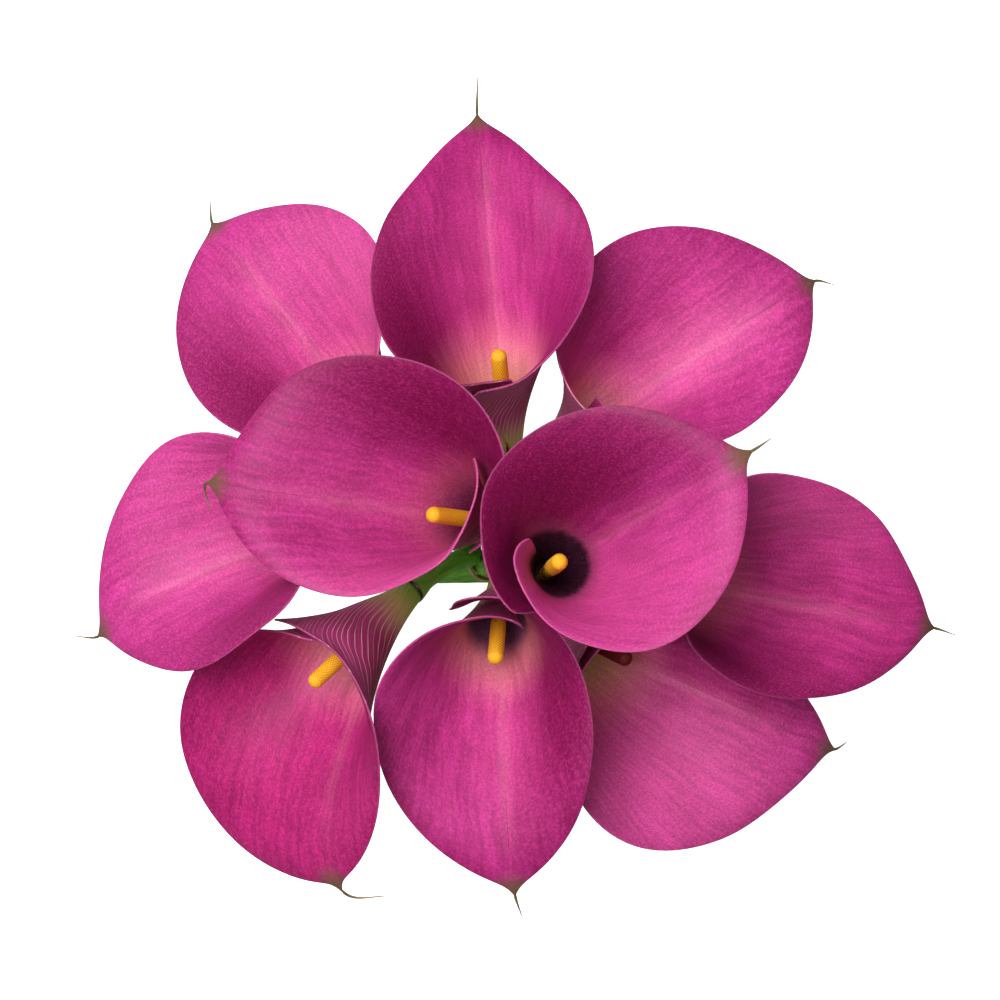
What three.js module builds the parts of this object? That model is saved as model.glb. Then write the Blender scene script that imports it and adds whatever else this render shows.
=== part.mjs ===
// Hand-tied bunch of ten arum lilies standing on its level-cut stems, in millimetres, +Z up.
// Every bloom is a spathe (one leaf rolled into a funnel), the spadix inside it and its stem.
// The stems cross in a spiral at the tie and spread below it, so the bunch stands by itself.
import * as THREE from 'three';

// Spathe, in the bloom's own frame: +Z along its tube, +X towards its pointed tip
const WALL = 0.9;
const TAIL_END = 0.6;
const FOOT_RADIUS = 4.2;
const THROAT_RADIUS = 7;
const WRAP_OFFSET = 0.75;
const FOOT_SPAN = 171;
const TIP_HEIGHT = 86;
const FRONT_HEIGHT = 50;
const INNER_HEIGHT = 46;
const HEIGHT_POWER = 1.2;
const THROAT_SHARE = 0.5;
const RIM_PULL = 0.42;
// Angles from the tip at which a rim's reach is given, and the rim's upward slope there
const RIM_ANGLES = [0, 20, 45, 75, 105, 135, 160, 185, 215, 250];
const RIM_SLOPES = [-6, 4, 14, 24, 32, 40, 44, 48, 48, 48];
const NO_LIFT = RIM_ANGLES.map(() => 0);
// How far each half is cut back towards its margin: the inner one to a round lip, the outer one on a slant
const LIP_SPAN = 36;
const LIP_TRIM = 0.22;
const SLANT_SPAN = 25;
const SLANT_TRIM = 0.3;
const HALF_COLUMNS = 16;
const TIP_CROWDING = 0.6;
const ROWS = [0, 0.07, 0.19, 0.32, 0.46, 0.6, 0.75, 0.89, 1];

// Spadix
const SPADIX_FOOT_RADIUS = 2;
const SPADIX_RADIUS = 2.7;
const SPADIX_SIDES = 8;

// Stems and tie
const SEAT_GAP = 0.3;
const STEM_SIDES = 8;
const STEM_CUT_RADIUS = 4;
const STEM_NECK_RADIUS = 3.6;
const STEM_SEAT_RADIUS = 4.9;
const SEAT_FLARE_LENGTH = 9;
const BUNDLE_CENTRE = new THREE.Vector2(-2.6, -14.3);
const TIE_HEIGHT = 92;
const RING_RADIUS = 13.3;
const SPIRAL_SLOPE = 0.34;
const CORE_RADIUS = 4.9;
const CORE_SLOPE = -0.04;
const TIE_BAND = 10;
const TIE_THICKNESS = 1.6;
const TIE_GAP = 0.3;
const TIE_STEPS = 48;

// The ten blooms, named by their place seen from above. foot is the foot of the tube, lean its tilt from
// upright towards azimuth, and roll turns the tip away from there. wrap is the side that lies inside: +1
// clockwise of the tip, -1 the other side. inner and outer are the reach of the two rims at the angles above,
// innerEnd and outerEnd the angles of the two margins. tail is the thin end of the tip, with its rise and its
// swing to the left in degrees. tieAngle is the stem's place round the tie, and sway how strongly the stem
// sets off there and comes in above.
const BLOOMS = [
  {
    name: 'top', foot: [-1.8, 18.2, 178], lean: 42, azimuth: 96, roll: -1, wrap: -1,
    inner: [75, 58, 49, 42, 36, 26, 18, 15, 14, 12],
    outer: [75, 56, 46, 35, 25, 19, 18, 19, 23, 27],
    tail: { length: 12, rise: 20, swing: -6 },
    tieAngle: 65, sway: [1.6, 0.8],
  },
  {
    name: 'top_left', foot: [-36.7, 12, 168], lean: 52, azimuth: 131, roll: -3, wrap: 1,
    inner: [67, 59, 52, 42, 28, 22, 18, 16, 14, 12],
    outer: [67, 57, 48, 41, 35, 29, 24, 22, 22, 24],
    tail: { length: 9, rise: 18, swing: -6 },
    tieAngle: 110, sway: [0.5, 1],
  },
  {
    name: 'top_right', foot: [12.9, 17.9, 158], lean: 45, azimuth: 35, roll: -4, wrap: 1, spadixLength: 33,
    inner: [68, 54, 41, 33, 28, 24, 20, 17, 15, 12],
    outer: [68, 59, 53, 48, 42, 36, 30, 25, 25, 27],
    tail: { length: 8, rise: 18, swing: -6 },
    tieAngle: 15, sway: [1.5, 1.1],
  },
  {
    name: 'centre_left', foot: [-0.1, -8.6, 194], lean: 36, azimuth: 172, roll: 0, wrap: -1, innerEnd: 245,
    inner: [62, 51, 40, 31, 23, 19, 17, 17.5, 21.5, 28.5],
    outer: [62, 57, 56, 51, 46, 39, 33, 27, 23, 24],
    tail: { length: 10, rise: 8, swing: 8 },
    tieAngle: 158, core: true, sway: [1.6, 0.9],
  },
  {
    name: 'centre_right', foot: [10.1, -25.5, 206], lean: 9, azimuth: 50, roll: -21, wrap: 1, innerEnd: 250,
    inner: [61, 55, 49, 41, 29, 21, 17, 15.5, 15.5, 14.5],
    outer: [61, 54, 48, 41, 35, 27, 24, 23, 23, 25],
    tail: { length: 6, rise: 4, swing: -4 },
    tieAngle: -30, core: true, sway: [0.5, 0.6],
  },
  {
    name: 'right', foot: [34.7, -23.3, 184], lean: 46, azimuth: -12, roll: 2, wrap: 1,
    inner: [70, 54, 40, 32, 27, 24, 20, 17, 14, 12],
    outer: [70, 57, 50, 44, 41, 34, 27, 24, 25, 27],
    tail: { length: 8, rise: 20, swing: -9 },
    tieAngle: -38, sway: [0.9, 0.8],
  },
  {
    name: 'left', foot: [-42.7, -2.8, 178], lean: 52, azimuth: 188, roll: 25, wrap: 1,
    inner: [68, 58, 49, 43, 33, 24, 20, 17, 14, 12],
    outer: [68, 57, 48, 37, 33, 28, 24, 23, 24, 26],
    tail: { length: 9, rise: 18, swing: -6 },
    tieAngle: 150, sway: [1.5, 0.9],
  },
  {
    name: 'bottom_left', foot: [-35.9, -32.2, 178], lean: 56, azimuth: 223, roll: 62, wrap: 1,
    spadixLength: 54, heightTurn: -30,
    inner: [63, 64, 64, 60, 46, 31, 22, 17, 14, 12],
    innerLift: [0, 0, 0, -2, -5, -5, -3, 0, 0, 0],
    outer: [63, 54, 44, 34, 25, 20, 20, 23, 28, 36],
    tail: { length: 12, rise: 18, swing: 20 },
    tieAngle: 190, sway: [1, 1],
  },
  {
    name: 'bottom', foot: [-3.9, -28.4, 163], lean: 34, azimuth: 265, roll: 11, wrap: 1, innerEnd: 230,
    inner: [69, 59, 50, 42, 38, 31, 24, 20, 18, 16],
    innerLift: [0, 0, 0, 4, 8, 7, 3, 0, 0, 0],
    outer: [69, 55, 42, 34, 30, 28, 28, 28.5, 30, 36],
    tail: { length: 8, rise: 18, swing: 14 },
    tieAngle: 230, sway: [0.9, 1.2],
  },
  {
    name: 'bottom_right', foot: [11.3, -43, 144], lean: 42, azimuth: -24, roll: 0, wrap: 1,
    inner: [72, 66, 64, 60, 49, 35, 23, 16, 13, 12],
    outer: [72, 47, 37, 31, 27, 24, 23, 24, 29, 38],
    tail: { length: 6, rise: 15, swing: 20 },
    tieAngle: 275, sway: [1.1, 1.2],
  },
].map((bloom) => ({
  innerEnd: 200, outerEnd: 220, spadixLength: 48, heightTurn: 0, innerLift: NO_LIFT, ...bloom,
}));

const spatheFinish = new THREE.MeshStandardMaterial({ name: 'spathe', color: 0xd3459a, roughness: 0.5 });
const spadixFinish = new THREE.MeshStandardMaterial({ name: 'spadix', color: 0xe8ac28, roughness: 0.7 });
const stemFinish = new THREE.MeshStandardMaterial({ name: 'stem', color: 0x3f6a1e, roughness: 0.5 });
const tieFinish = new THREE.MeshStandardMaterial({ name: 'tie', color: 0xc9ac77, roughness: 0.85 });

const radians = THREE.MathUtils.degToRad;
const lerp = THREE.MathUtils.lerp;
const X_AXIS = new THREE.Vector3(1, 0, 0);
const Y_AXIS = new THREE.Vector3(0, 1, 0);
const Z_AXIS = new THREE.Vector3(0, 0, 1);

// Smooth curve through values given at rising angles
function curveAt(angles, values, angle) {
  const last = angles.length - 1;
  const slope = (i) => (values[i + 1] - values[i]) / (angles[i + 1] - angles[i]);
  const tangent = (i) => {
    if (i === 0) return slope(0);
    if (i === last) return slope(last - 1);
    const before = angles[i] - angles[i - 1];
    const after = angles[i + 1] - angles[i];
    return (slope(i - 1) * after + slope(i) * before) / (before + after);
  };
  const x = THREE.MathUtils.clamp(angle, angles[0], angles[last]);
  let i = 0;
  while (i < last - 1 && x >= angles[i + 1]) i += 1;
  const width = angles[i + 1] - angles[i];
  const s = (x - angles[i]) / width;
  return values[i] * (1 + 2 * s) * (1 - s) ** 2
    + tangent(i) * width * s * (1 - s) ** 2
    + values[i + 1] * s * s * (3 - 2 * s)
    - tangent(i + 1) * width * s * s * (1 - s);
}

function bezier(a, b, c, d, t) {
  return a * (1 - t) ** 3 + 3 * b * t * (1 - t) ** 2 + 3 * c * t * t * (1 - t) + d * t ** 3;
}

// One closed body from a list of corners and a list of triangles, turned so that its faces point out
function solidGeometry(corners, triangles) {
  let volume = 0;
  for (const [a, b, c] of triangles) {
    volume += corners[a].dot(new THREE.Vector3().crossVectors(corners[b], corners[c]));
  }
  const faces = volume < 0 ? triangles.map(([a, b, c]) => [a, c, b]) : triangles;
  const geometry = new THREE.BufferGeometry();
  geometry.setAttribute('position', new THREE.Float32BufferAttribute(corners.flatMap((p) => p.toArray()), 3));
  geometry.setIndex(faces.flat());
  geometry.computeVertexNormals();
  return geometry;
}

// A solid through rings of points, closed by a flat fan at each end
function ringSolid(rings) {
  const sides = rings[0].length;
  const corners = rings.flat();
  const triangles = [];
  for (let i = 0; i < rings.length - 1; i += 1) {
    for (let j = 0; j < sides; j += 1) {
      const a = i * sides + j;
      const b = i * sides + ((j + 1) % sides);
      triangles.push([a, b, b + sides], [a, b + sides, a + sides]);
    }
  }
  const top = (rings.length - 1) * sides;
  for (let j = 1; j < sides - 1; j += 1) {
    triangles.push([0, j + 1, j], [top, top + j, top + j + 1]);
  }
  return solidGeometry(corners, triangles);
}

// Height of the rim above the foot: highest at the tip, lowest where the two margins cross in front
function rimHeight(bloom, side, angle) {
  const turned = THREE.MathUtils.clamp(angle - side * bloom.heightTurn, -180, 180);
  const rise = ((1 + Math.cos(radians(turned))) / 2) ** HEIGHT_POWER;
  const height = FRONT_HEIGHT + (TIP_HEIGHT - FRONT_HEIGHT) * rise;
  if (side > 0) return height;
  const tuck = (INNER_HEIGHT - FRONT_HEIGHT) * THREE.MathUtils.smoothstep(angle, 150, 250);
  return height + tuck + curveAt(RIM_ANGLES, bloom.innerLift, angle);
}

// Share of a rib that is left where each half is cut back towards its margin
function trimAt(side, angle, end) {
  if (side > 0) return 1 - SLANT_TRIM * THREE.MathUtils.smoothstep(angle, end - SLANT_SPAN, end);
  const near = THREE.MathUtils.clamp((angle - end) / LIP_SPAN + 1, 0, 1);
  return 1 - LIP_TRIM * (1 - Math.sqrt(1 - near * near));
}

// Middle of the spathe's wall. side is -1 on the inner half and +1 on the outer one, angle is counted
// from the tip at the rim, and t runs from the foot, 0, to the rim, 1.
function spathePoint(bloom, side, angle, t) {
  const end = side < 0 ? bloom.innerEnd : bloom.outerEnd;
  const s = t * trimAt(side, angle, end);
  const reach = curveAt(RIM_ANGLES, side < 0 ? bloom.inner : bloom.outer, angle);
  const height = rimHeight(bloom, side, angle);
  const slope = radians(curveAt(RIM_ANGLES, RIM_SLOPES, angle));
  const pull = RIM_PULL * Math.max(reach - THROAT_RADIUS, 0) + 3;
  const throatRadius = Math.min(THROAT_RADIUS, 0.3 * FOOT_RADIUS + 0.7 * reach);
  const throatHeight = Math.min(THROAT_SHARE * FRONT_HEIGHT, 0.65 * height);
  const radius = bezier(FOOT_RADIUS, throatRadius, reach - pull * Math.cos(slope), reach, s);
  const z = bezier(0, throatHeight, height - pull * Math.sin(slope), height, s);
  const opened = THREE.MathUtils.smoothstep(s, 0, 0.45);
  const turn = lerp((angle * FOOT_SPAN) / end, angle, opened);
  const wrapped = THREE.MathUtils.smoothstep(angle, 90, 165) * THREE.MathUtils.smoothstep(s, 0, 0.12);
  const offset = side * WRAP_OFFSET * wrapped * (1 - 0.5 * THREE.MathUtils.smoothstep(s, 0.5, 1));
  const around = radians(bloom.wrap * side * turn);
  return new THREE.Vector3((radius + offset) * Math.cos(around), (radius + offset) * Math.sin(around), z);
}

// The spathe as one closed sheet, its tip drawn out into a thin tail
function spatheGeometry(bloom) {
  const columns = [];
  for (let k = HALF_COLUMNS; k > 0; k -= 1) columns.push([-1, k / HALF_COLUMNS, bloom.innerEnd]);
  for (let k = 0; k <= HALF_COLUMNS; k += 1) columns.push([1, k / HALF_COLUMNS, bloom.outerEnd]);
  const middle = columns.map(([side, share, end]) => ROWS.map((t) => {
    const power = 1 + TIP_CROWDING * THREE.MathUtils.smoothstep(t, 0, 1);
    return spathePoint(bloom, side, end * share ** power, t);
  }));
  const lastColumn = middle.length - 1;
  const lastRow = ROWS.length - 1;
  const normal = (i, j) => {
    const across = new THREE.Vector3().subVectors(
      middle[Math.min(i + 1, lastColumn)][j],
      middle[Math.max(i - 1, 0)][j],
    );
    const along = new THREE.Vector3().subVectors(
      middle[i][Math.min(j + 1, lastRow)],
      middle[i][Math.max(j - 1, 0)],
    );
    return across.cross(along).normalize();
  };
  const along = X_AXIS.clone()
    .applyAxisAngle(Y_AXIS, -radians(bloom.tail.rise))
    .applyAxisAngle(Z_AXIS, radians(bloom.tail.swing));
  const corners = [];
  for (const face of [1, -1]) {
    for (let i = 0; i <= lastColumn; i += 1) {
      for (let j = 0; j <= lastRow; j += 1) {
        const atTip = i === HALF_COLUMNS && j === lastRow;
        const out = atTip ? normal(i, j).projectOnPlane(along).normalize() : normal(i, j);
        const corner = middle[i][j].clone().addScaledVector(out, (face * (atTip ? TAIL_END : WALL)) / 2);
        corners.push(atTip ? corner.addScaledVector(along, bloom.tail.length) : corner);
      }
    }
  }
  const half = (lastColumn + 1) * (lastRow + 1);
  const at = (i, j) => i * (lastRow + 1) + j;
  const triangles = [];
  for (let i = 0; i < lastColumn; i += 1) {
    for (let j = 0; j < lastRow; j += 1) {
      const quad = [at(i, j), at(i + 1, j), at(i + 1, j + 1), at(i, j + 1)];
      for (const [a, b, c] of [[0, 1, 2], [0, 2, 3]]) {
        triangles.push([quad[a], quad[b], quad[c]], [quad[a] + half, quad[c] + half, quad[b] + half]);
      }
    }
  }
  const edge = [];
  for (let i = 0; i < lastColumn; i += 1) edge.push(at(i, 0));
  for (let j = 0; j < lastRow; j += 1) edge.push(at(lastColumn, j));
  for (let i = lastColumn; i > 0; i -= 1) edge.push(at(i, lastRow));
  for (let j = lastRow; j > 0; j -= 1) edge.push(at(0, j));
  edge.forEach((a, k) => {
    const b = edge[(k + 1) % edge.length];
    triangles.push([b, a, a + half], [b, a + half, b + half]);
  });
  return solidGeometry(corners, triangles);
}

// Club-shaped spadix, standing on the stem inside the tube
function spadixGeometry(length) {
  const tip = length - SPADIX_RADIUS;
  const profile = [
    [0, 0],
    [SPADIX_FOOT_RADIUS, 0],
    [SPADIX_FOOT_RADIUS + 0.2, 0.25 * length],
    [SPADIX_RADIUS, 0.6 * length],
    [SPADIX_RADIUS, tip],
    [SPADIX_RADIUS * Math.cos(radians(45)), tip + SPADIX_RADIUS * Math.sin(radians(45))],
    [0, length],
  ].map(([radius, height]) => new THREE.Vector2(radius, height));
  return new THREE.LatheGeometry(profile, SPADIX_SIDES).rotateX(Math.PI / 2);
}

// Where a stem passes the tie, and its direction there
function tieCrossing(bloom) {
  const angle = radians(bloom.tieAngle);
  const radius = bloom.core ? CORE_RADIUS : RING_RADIUS;
  const point = new THREE.Vector3(
    BUNDLE_CENTRE.x + radius * Math.cos(angle),
    BUNDLE_CENTRE.y + radius * Math.sin(angle),
    TIE_HEIGHT,
  );
  const direction = bloom.core
    ? new THREE.Vector3(Math.cos(angle) * CORE_SLOPE, Math.sin(angle) * CORE_SLOPE, 1)
    : new THREE.Vector3(-Math.sin(angle) * SPIRAL_SLOPE, Math.cos(angle) * SPIRAL_SLOPE, 1);
  return { point, direction };
}

// Centre line of a stem: straight up to the tie, then one bend into the bloom's own direction
function stemLine(bloom, turn) {
  const { point, direction } = tieCrossing(bloom);
  const cut = point.clone().addScaledVector(direction, -TIE_HEIGHT);
  const axis = Z_AXIS.clone().applyQuaternion(turn);
  const top = new THREE.Vector3(...bloom.foot).addScaledVector(axis, -SEAT_GAP);
  const span = point.distanceTo(top);
  const start = direction.clone().normalize().multiplyScalar(span * bloom.sway[0]);
  const end = axis.clone().multiplyScalar(span * bloom.sway[1]);
  const line = [0, 0.5].map((s) => cut.clone().lerp(point, s));
  for (const s of [0, 0.12, 0.25, 0.38, 0.5, 0.62, 0.73, 0.82, 0.88, 0.94, 1]) {
    line.push(new THREE.Vector3()
      .addScaledVector(point, 2 * s ** 3 - 3 * s ** 2 + 1)
      .addScaledVector(start, s ** 3 - 2 * s ** 2 + s)
      .addScaledVector(top, -2 * s ** 3 + 3 * s ** 2)
      .addScaledVector(end, s ** 3 - s ** 2));
  }
  return line;
}

function stemGeometry(bloom, turn) {
  const line = stemLine(bloom, turn);
  const runs = [0];
  for (let i = 1; i < line.length; i += 1) runs.push(runs[i - 1] + line[i].distanceTo(line[i - 1]));
  const length = runs[runs.length - 1];
  const axis = Z_AXIS.clone().applyQuaternion(turn);
  let side = X_AXIS.clone();
  const rings = line.map((centre, i) => {
    const along = new THREE.Vector3()
      .subVectors(line[Math.min(i + 1, line.length - 1)], line[Math.max(i - 1, 0)])
      .normalize();
    if (i === line.length - 1) along.copy(axis);
    side = side.clone().addScaledVector(along, -side.dot(along)).normalize();
    const across = new THREE.Vector3().crossVectors(along, side);
    const flare = THREE.MathUtils.smoothstep(runs[i], length - SEAT_FLARE_LENGTH, length);
    const radius = lerp(STEM_CUT_RADIUS, STEM_NECK_RADIUS, runs[i] / length)
      + (STEM_SEAT_RADIUS - STEM_NECK_RADIUS) * flare;
    return Array.from({ length: STEM_SIDES }, (_, k) => {
      const angle = (2 * Math.PI * k) / STEM_SIDES;
      const corner = centre.clone()
        .addScaledVector(side, radius * Math.cos(angle))
        .addScaledVector(across, radius * Math.sin(angle));
      if (i === 0) corner.addScaledVector(along, -corner.z / along.z);
      return corner;
    });
  });
  return ringSolid(rings);
}

// The tie as a belt drawn round the bundle, one gap away from every outer stem
function tieGeometry() {
  const outerStems = BLOOMS.filter((bloom) => !bloom.core).map(tieCrossing);
  const outline = (height, clearance) => {
    const centres = outerStems.map(({ point, direction }) => (
      point.clone().addScaledVector(direction, height - TIE_HEIGHT)
    ));
    return Array.from({ length: TIE_STEPS }, (_, k) => {
      const angle = (2 * Math.PI * k) / TIE_STEPS;
      const out = new THREE.Vector3(Math.cos(angle), Math.sin(angle), 0);
      const furthest = centres.reduce((best, centre) => (centre.dot(out) > best.dot(out) ? centre : best));
      return furthest.clone().addScaledVector(out, STEM_CUT_RADIUS + clearance);
    });
  };
  const low = TIE_HEIGHT - TIE_BAND / 2;
  const high = TIE_HEIGHT + TIE_BAND / 2;
  const rings = [
    outline(low, TIE_GAP),
    outline(low, TIE_GAP + TIE_THICKNESS),
    outline(TIE_HEIGHT, TIE_GAP + TIE_THICKNESS),
    outline(high, TIE_GAP + TIE_THICKNESS),
    outline(high, TIE_GAP),
    outline(TIE_HEIGHT, TIE_GAP),
  ];
  const triangles = [];
  rings.forEach((ring, i) => {
    const next = ((i + 1) % rings.length) * TIE_STEPS;
    ring.forEach((_, j) => {
      const a = i * TIE_STEPS + j;
      const b = i * TIE_STEPS + ((j + 1) % TIE_STEPS);
      const c = next + ((j + 1) % TIE_STEPS);
      triangles.push([a, b, c], [a, c, next + j]);
    });
  });
  return solidGeometry(rings.flat(), triangles);
}

function mesh(name, geometry, finish) {
  const piece = new THREE.Mesh(geometry, finish);
  piece.name = name;
  return piece;
}

const bouquet = new THREE.Group();
for (const bloom of BLOOMS) {
  const turn = new THREE.Quaternion().setFromAxisAngle(Z_AXIS, radians(bloom.azimuth))
    .multiply(new THREE.Quaternion().setFromAxisAngle(Y_AXIS, radians(bloom.lean)))
    .multiply(new THREE.Quaternion().setFromAxisAngle(Z_AXIS, radians(bloom.roll)));
  const head = new THREE.Group();
  head.position.set(...bloom.foot);
  head.quaternion.copy(turn);
  head.add(mesh(`spathe_${bloom.name}`, spatheGeometry(bloom), spatheFinish));
  head.add(mesh(`spadix_${bloom.name}`, spadixGeometry(bloom.spadixLength), spadixFinish));
  bouquet.add(head);
  bouquet.add(mesh(`stem_${bloom.name}`, stemGeometry(bloom, turn), stemFinish));
}
bouquet.add(mesh('tie', tieGeometry(), tieFinish));

export default bouquet;
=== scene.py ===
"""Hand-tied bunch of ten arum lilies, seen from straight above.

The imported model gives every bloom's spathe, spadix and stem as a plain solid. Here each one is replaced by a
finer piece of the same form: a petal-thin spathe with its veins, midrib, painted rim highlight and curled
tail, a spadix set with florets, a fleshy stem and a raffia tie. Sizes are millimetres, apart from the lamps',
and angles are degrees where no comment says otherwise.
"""

import logging
import math
from dataclasses import dataclass, replace
from enum import Enum

import bpy
import numpy as np
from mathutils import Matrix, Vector


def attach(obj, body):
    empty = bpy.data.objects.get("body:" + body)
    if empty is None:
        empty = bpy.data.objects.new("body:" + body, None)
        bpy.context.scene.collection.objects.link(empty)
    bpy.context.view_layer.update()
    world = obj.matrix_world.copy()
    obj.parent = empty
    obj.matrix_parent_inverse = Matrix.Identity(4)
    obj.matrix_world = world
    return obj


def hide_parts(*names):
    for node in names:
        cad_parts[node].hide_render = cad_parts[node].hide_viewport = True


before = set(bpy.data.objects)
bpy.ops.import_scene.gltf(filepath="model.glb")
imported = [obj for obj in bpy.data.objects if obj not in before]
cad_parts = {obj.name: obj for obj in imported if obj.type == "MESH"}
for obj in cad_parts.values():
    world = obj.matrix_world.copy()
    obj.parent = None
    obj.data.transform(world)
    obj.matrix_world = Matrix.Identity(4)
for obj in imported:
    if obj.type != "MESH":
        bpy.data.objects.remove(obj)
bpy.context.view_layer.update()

log = logging.getLogger("bouquet")
MM = 0.001
BODY = "root"


# Colours


def srgb(red: float, green: float, blue: float) -> tuple[float, float, float, float]:
    """Turns a screen colour into the linear colour that shaders use.

    Args:
        red: Red from 0 to 255.
        green: Green from 0 to 255.
        blue: Blue from 0 to 255.

    Returns:
        The linear colour with an alpha of 1.
    """
    def linear(value: float) -> float:
        """One channel from 0 to 255, made linear."""
        share = value / 255
        return share / 12.92 if share <= 0.04045 else ((share + 0.055) / 1.055) ** 2.4

    return (linear(red), linear(green), linear(blue), 1.0)


def grey(value: float) -> tuple[float, float, float, float]:
    """A linear grey."""
    return (value, value, value, 1.0)


Colour = tuple[float, float, float, float]

OLIVE_TIP = srgb(96, 84, 44)
# Painted highlight: light shining through a petal's thin rim.
RIM_HIGHLIGHT = srgb(222, 128, 176)
PALE_MIDRIB = srgb(214, 148, 146)
STEM_GREEN = srgb(104, 160, 44)
# Painted shadow: dark red florets for the spadix that stands in the shade under its neighbour.
SHADOWED_CROWN = srgb(126, 34, 28)
SHADOWED_GAP = srgb(70, 12, 14)
SEED_STEP = 13.0


class Throat(Enum):
    """How a bloom is coloured deep inside its funnel."""

    PEACH = "peach"
    WINE = "wine"
    BLACK = "black"
    PURPLE = "purple"
    LIME = "lime"


@dataclass(frozen=True)
class ThroatColours:
    """The colour deep inside a funnel and the paler halo round it."""

    deep: Colour
    halo: Colour


THROATS: dict[Throat, ThroatColours] = {
    Throat.PEACH: ThroatColours(deep=srgb(236, 176, 162), halo=srgb(230, 124, 152)),
    Throat.WINE: ThroatColours(deep=srgb(84, 20, 52), halo=srgb(178, 76, 106)),
    Throat.BLACK: ThroatColours(deep=srgb(30, 12, 24), halo=srgb(136, 54, 88)),
    Throat.PURPLE: ThroatColours(deep=srgb(92, 58, 82), halo=srgb(214, 132, 132)),
    Throat.LIME: ThroatColours(deep=srgb(206, 180, 122), halo=srgb(230, 132, 146)),
}


@dataclass(frozen=True)
class Tint:
    """Colours of one bloom's inner face, its throat's reach, and its midrib band of pale tissue and painted
    light.
    """

    body: Colour
    # deep and light are the tissue's darker and paler tones, and are also used as painted shade and painted
    # light on a bloom's halves.
    deep: Colour
    light: Colour
    throat: Throat = Throat.PEACH
    throat_end: float = 34.0
    throat_softness: float = 12.0
    halo_width: float = 24.0
    # glow: strength of a broad lighter band along the midrib, partly paler tissue and partly painted light
    glow: float = 0.35


PINK = Tint(body=srgb(196, 56, 138), deep=srgb(140, 24, 88), light=srgb(226, 106, 166))
CERISE = Tint(body=srgb(182, 42, 124), deep=srgb(118, 7, 66), light=srgb(216, 82, 150))
MAGENTA = Tint(body=srgb(190, 50, 130), deep=srgb(120, 10, 70), light=srgb(220, 98, 158))

SHALLOW_THROAT = replace(PINK, throat_end=26.0, glow=0.6)
RICH_CERISE = replace(CERISE, body=srgb(182, 34, 112), glow=0.12)
EVEN_PINK = replace(PINK, glow=0.2)
RICH_MAGENTA = replace(MAGENTA, body=srgb(200, 52, 136), glow=0.15)
WINE_THROAT = replace(CERISE, body=srgb(178, 44, 122), throat=Throat.WINE, throat_end=30.0, glow=0.25)
DARK_THROAT = replace(
    CERISE, body=srgb(184, 50, 130), throat=Throat.BLACK,
    throat_end=34.2, throat_softness=3.0, halo_width=12.0, glow=0.05,
)
DEEP_THROAT = replace(
    CERISE, body=srgb(188, 48, 130), throat=Throat.PURPLE, throat_end=32.0, throat_softness=5.0,
)
LIME_THROAT = replace(MAGENTA, body=srgb(200, 60, 142), throat=Throat.LIME, throat_end=34.0, glow=0.2)


@dataclass(frozen=True)
class Shade:
    """Painted shade on the two halves of a bloom: how much darker each is painted, painted light where
    negative.

    It sets in at the distance begins from the midrib, in millimetres, and is full at the distance full.
    """

    inner: float = 0.5
    outer: float = 0.5
    begins: float = 14.0
    full: float = 52.0


# The ten blooms


@dataclass(frozen=True)
class Bloom:
    """Place and shape of one bloom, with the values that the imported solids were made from.

    The reach of its two rims is given at RIM_ANGLES, counted from the tip. tail_end is where
    the thin tail ends, from the tip, in the bunch's own directions.
    """

    name: str
    foot: tuple[float, float, float]
    lean: float
    azimuth: float
    roll: float
    inner: tuple[float, ...]
    outer: tuple[float, ...]
    tail_end: tuple[float, float, float]
    tie_angle: float
    sway: tuple[float, float]
    tint: Tint
    wrap: int = 1
    inner_end: float = 200.0
    outer_end: float = 220.0
    spadix_length: float = 48.0
    height_turn: float = 0.0
    inner_lift: tuple[float, ...] = (0, 0, 0, 0, 0, 0, 0, 0, 0, 0)
    # painted shade on the bloom's two halves, painted light where a value is negative
    shade: Shade = Shade()
    core: bool = False
    # True where the spadix gets the dark red florets, painted shadow for a spadix in its neighbour's shade.
    shadowed: bool = False

    def turn(self) -> np.ndarray:
        """The rotation from the bloom's own frame to the bunch's.

        Returns:
            Its matrix: a roll about the funnel's axis, then the lean, then the turn to its azimuth.
        """
        turned, leaned, rolled = (math.radians(value) for value in (self.azimuth, self.lean, self.roll))
        c, s = math.cos(leaned), math.sin(leaned)
        lean = np.array([[c, 0, s], [0, 1, 0], [-s, 0, c]])
        return about_z(turned) @ lean @ about_z(rolled)

    def placed(self, points: np.ndarray) -> np.ndarray:
        """Points of the bloom's own frame, put in the bunch's."""
        return np.asarray(self.foot) + points @ self.turn().T


# Each bloom's shade holds the painted shade on its two halves, painted light where a value is negative.
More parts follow.
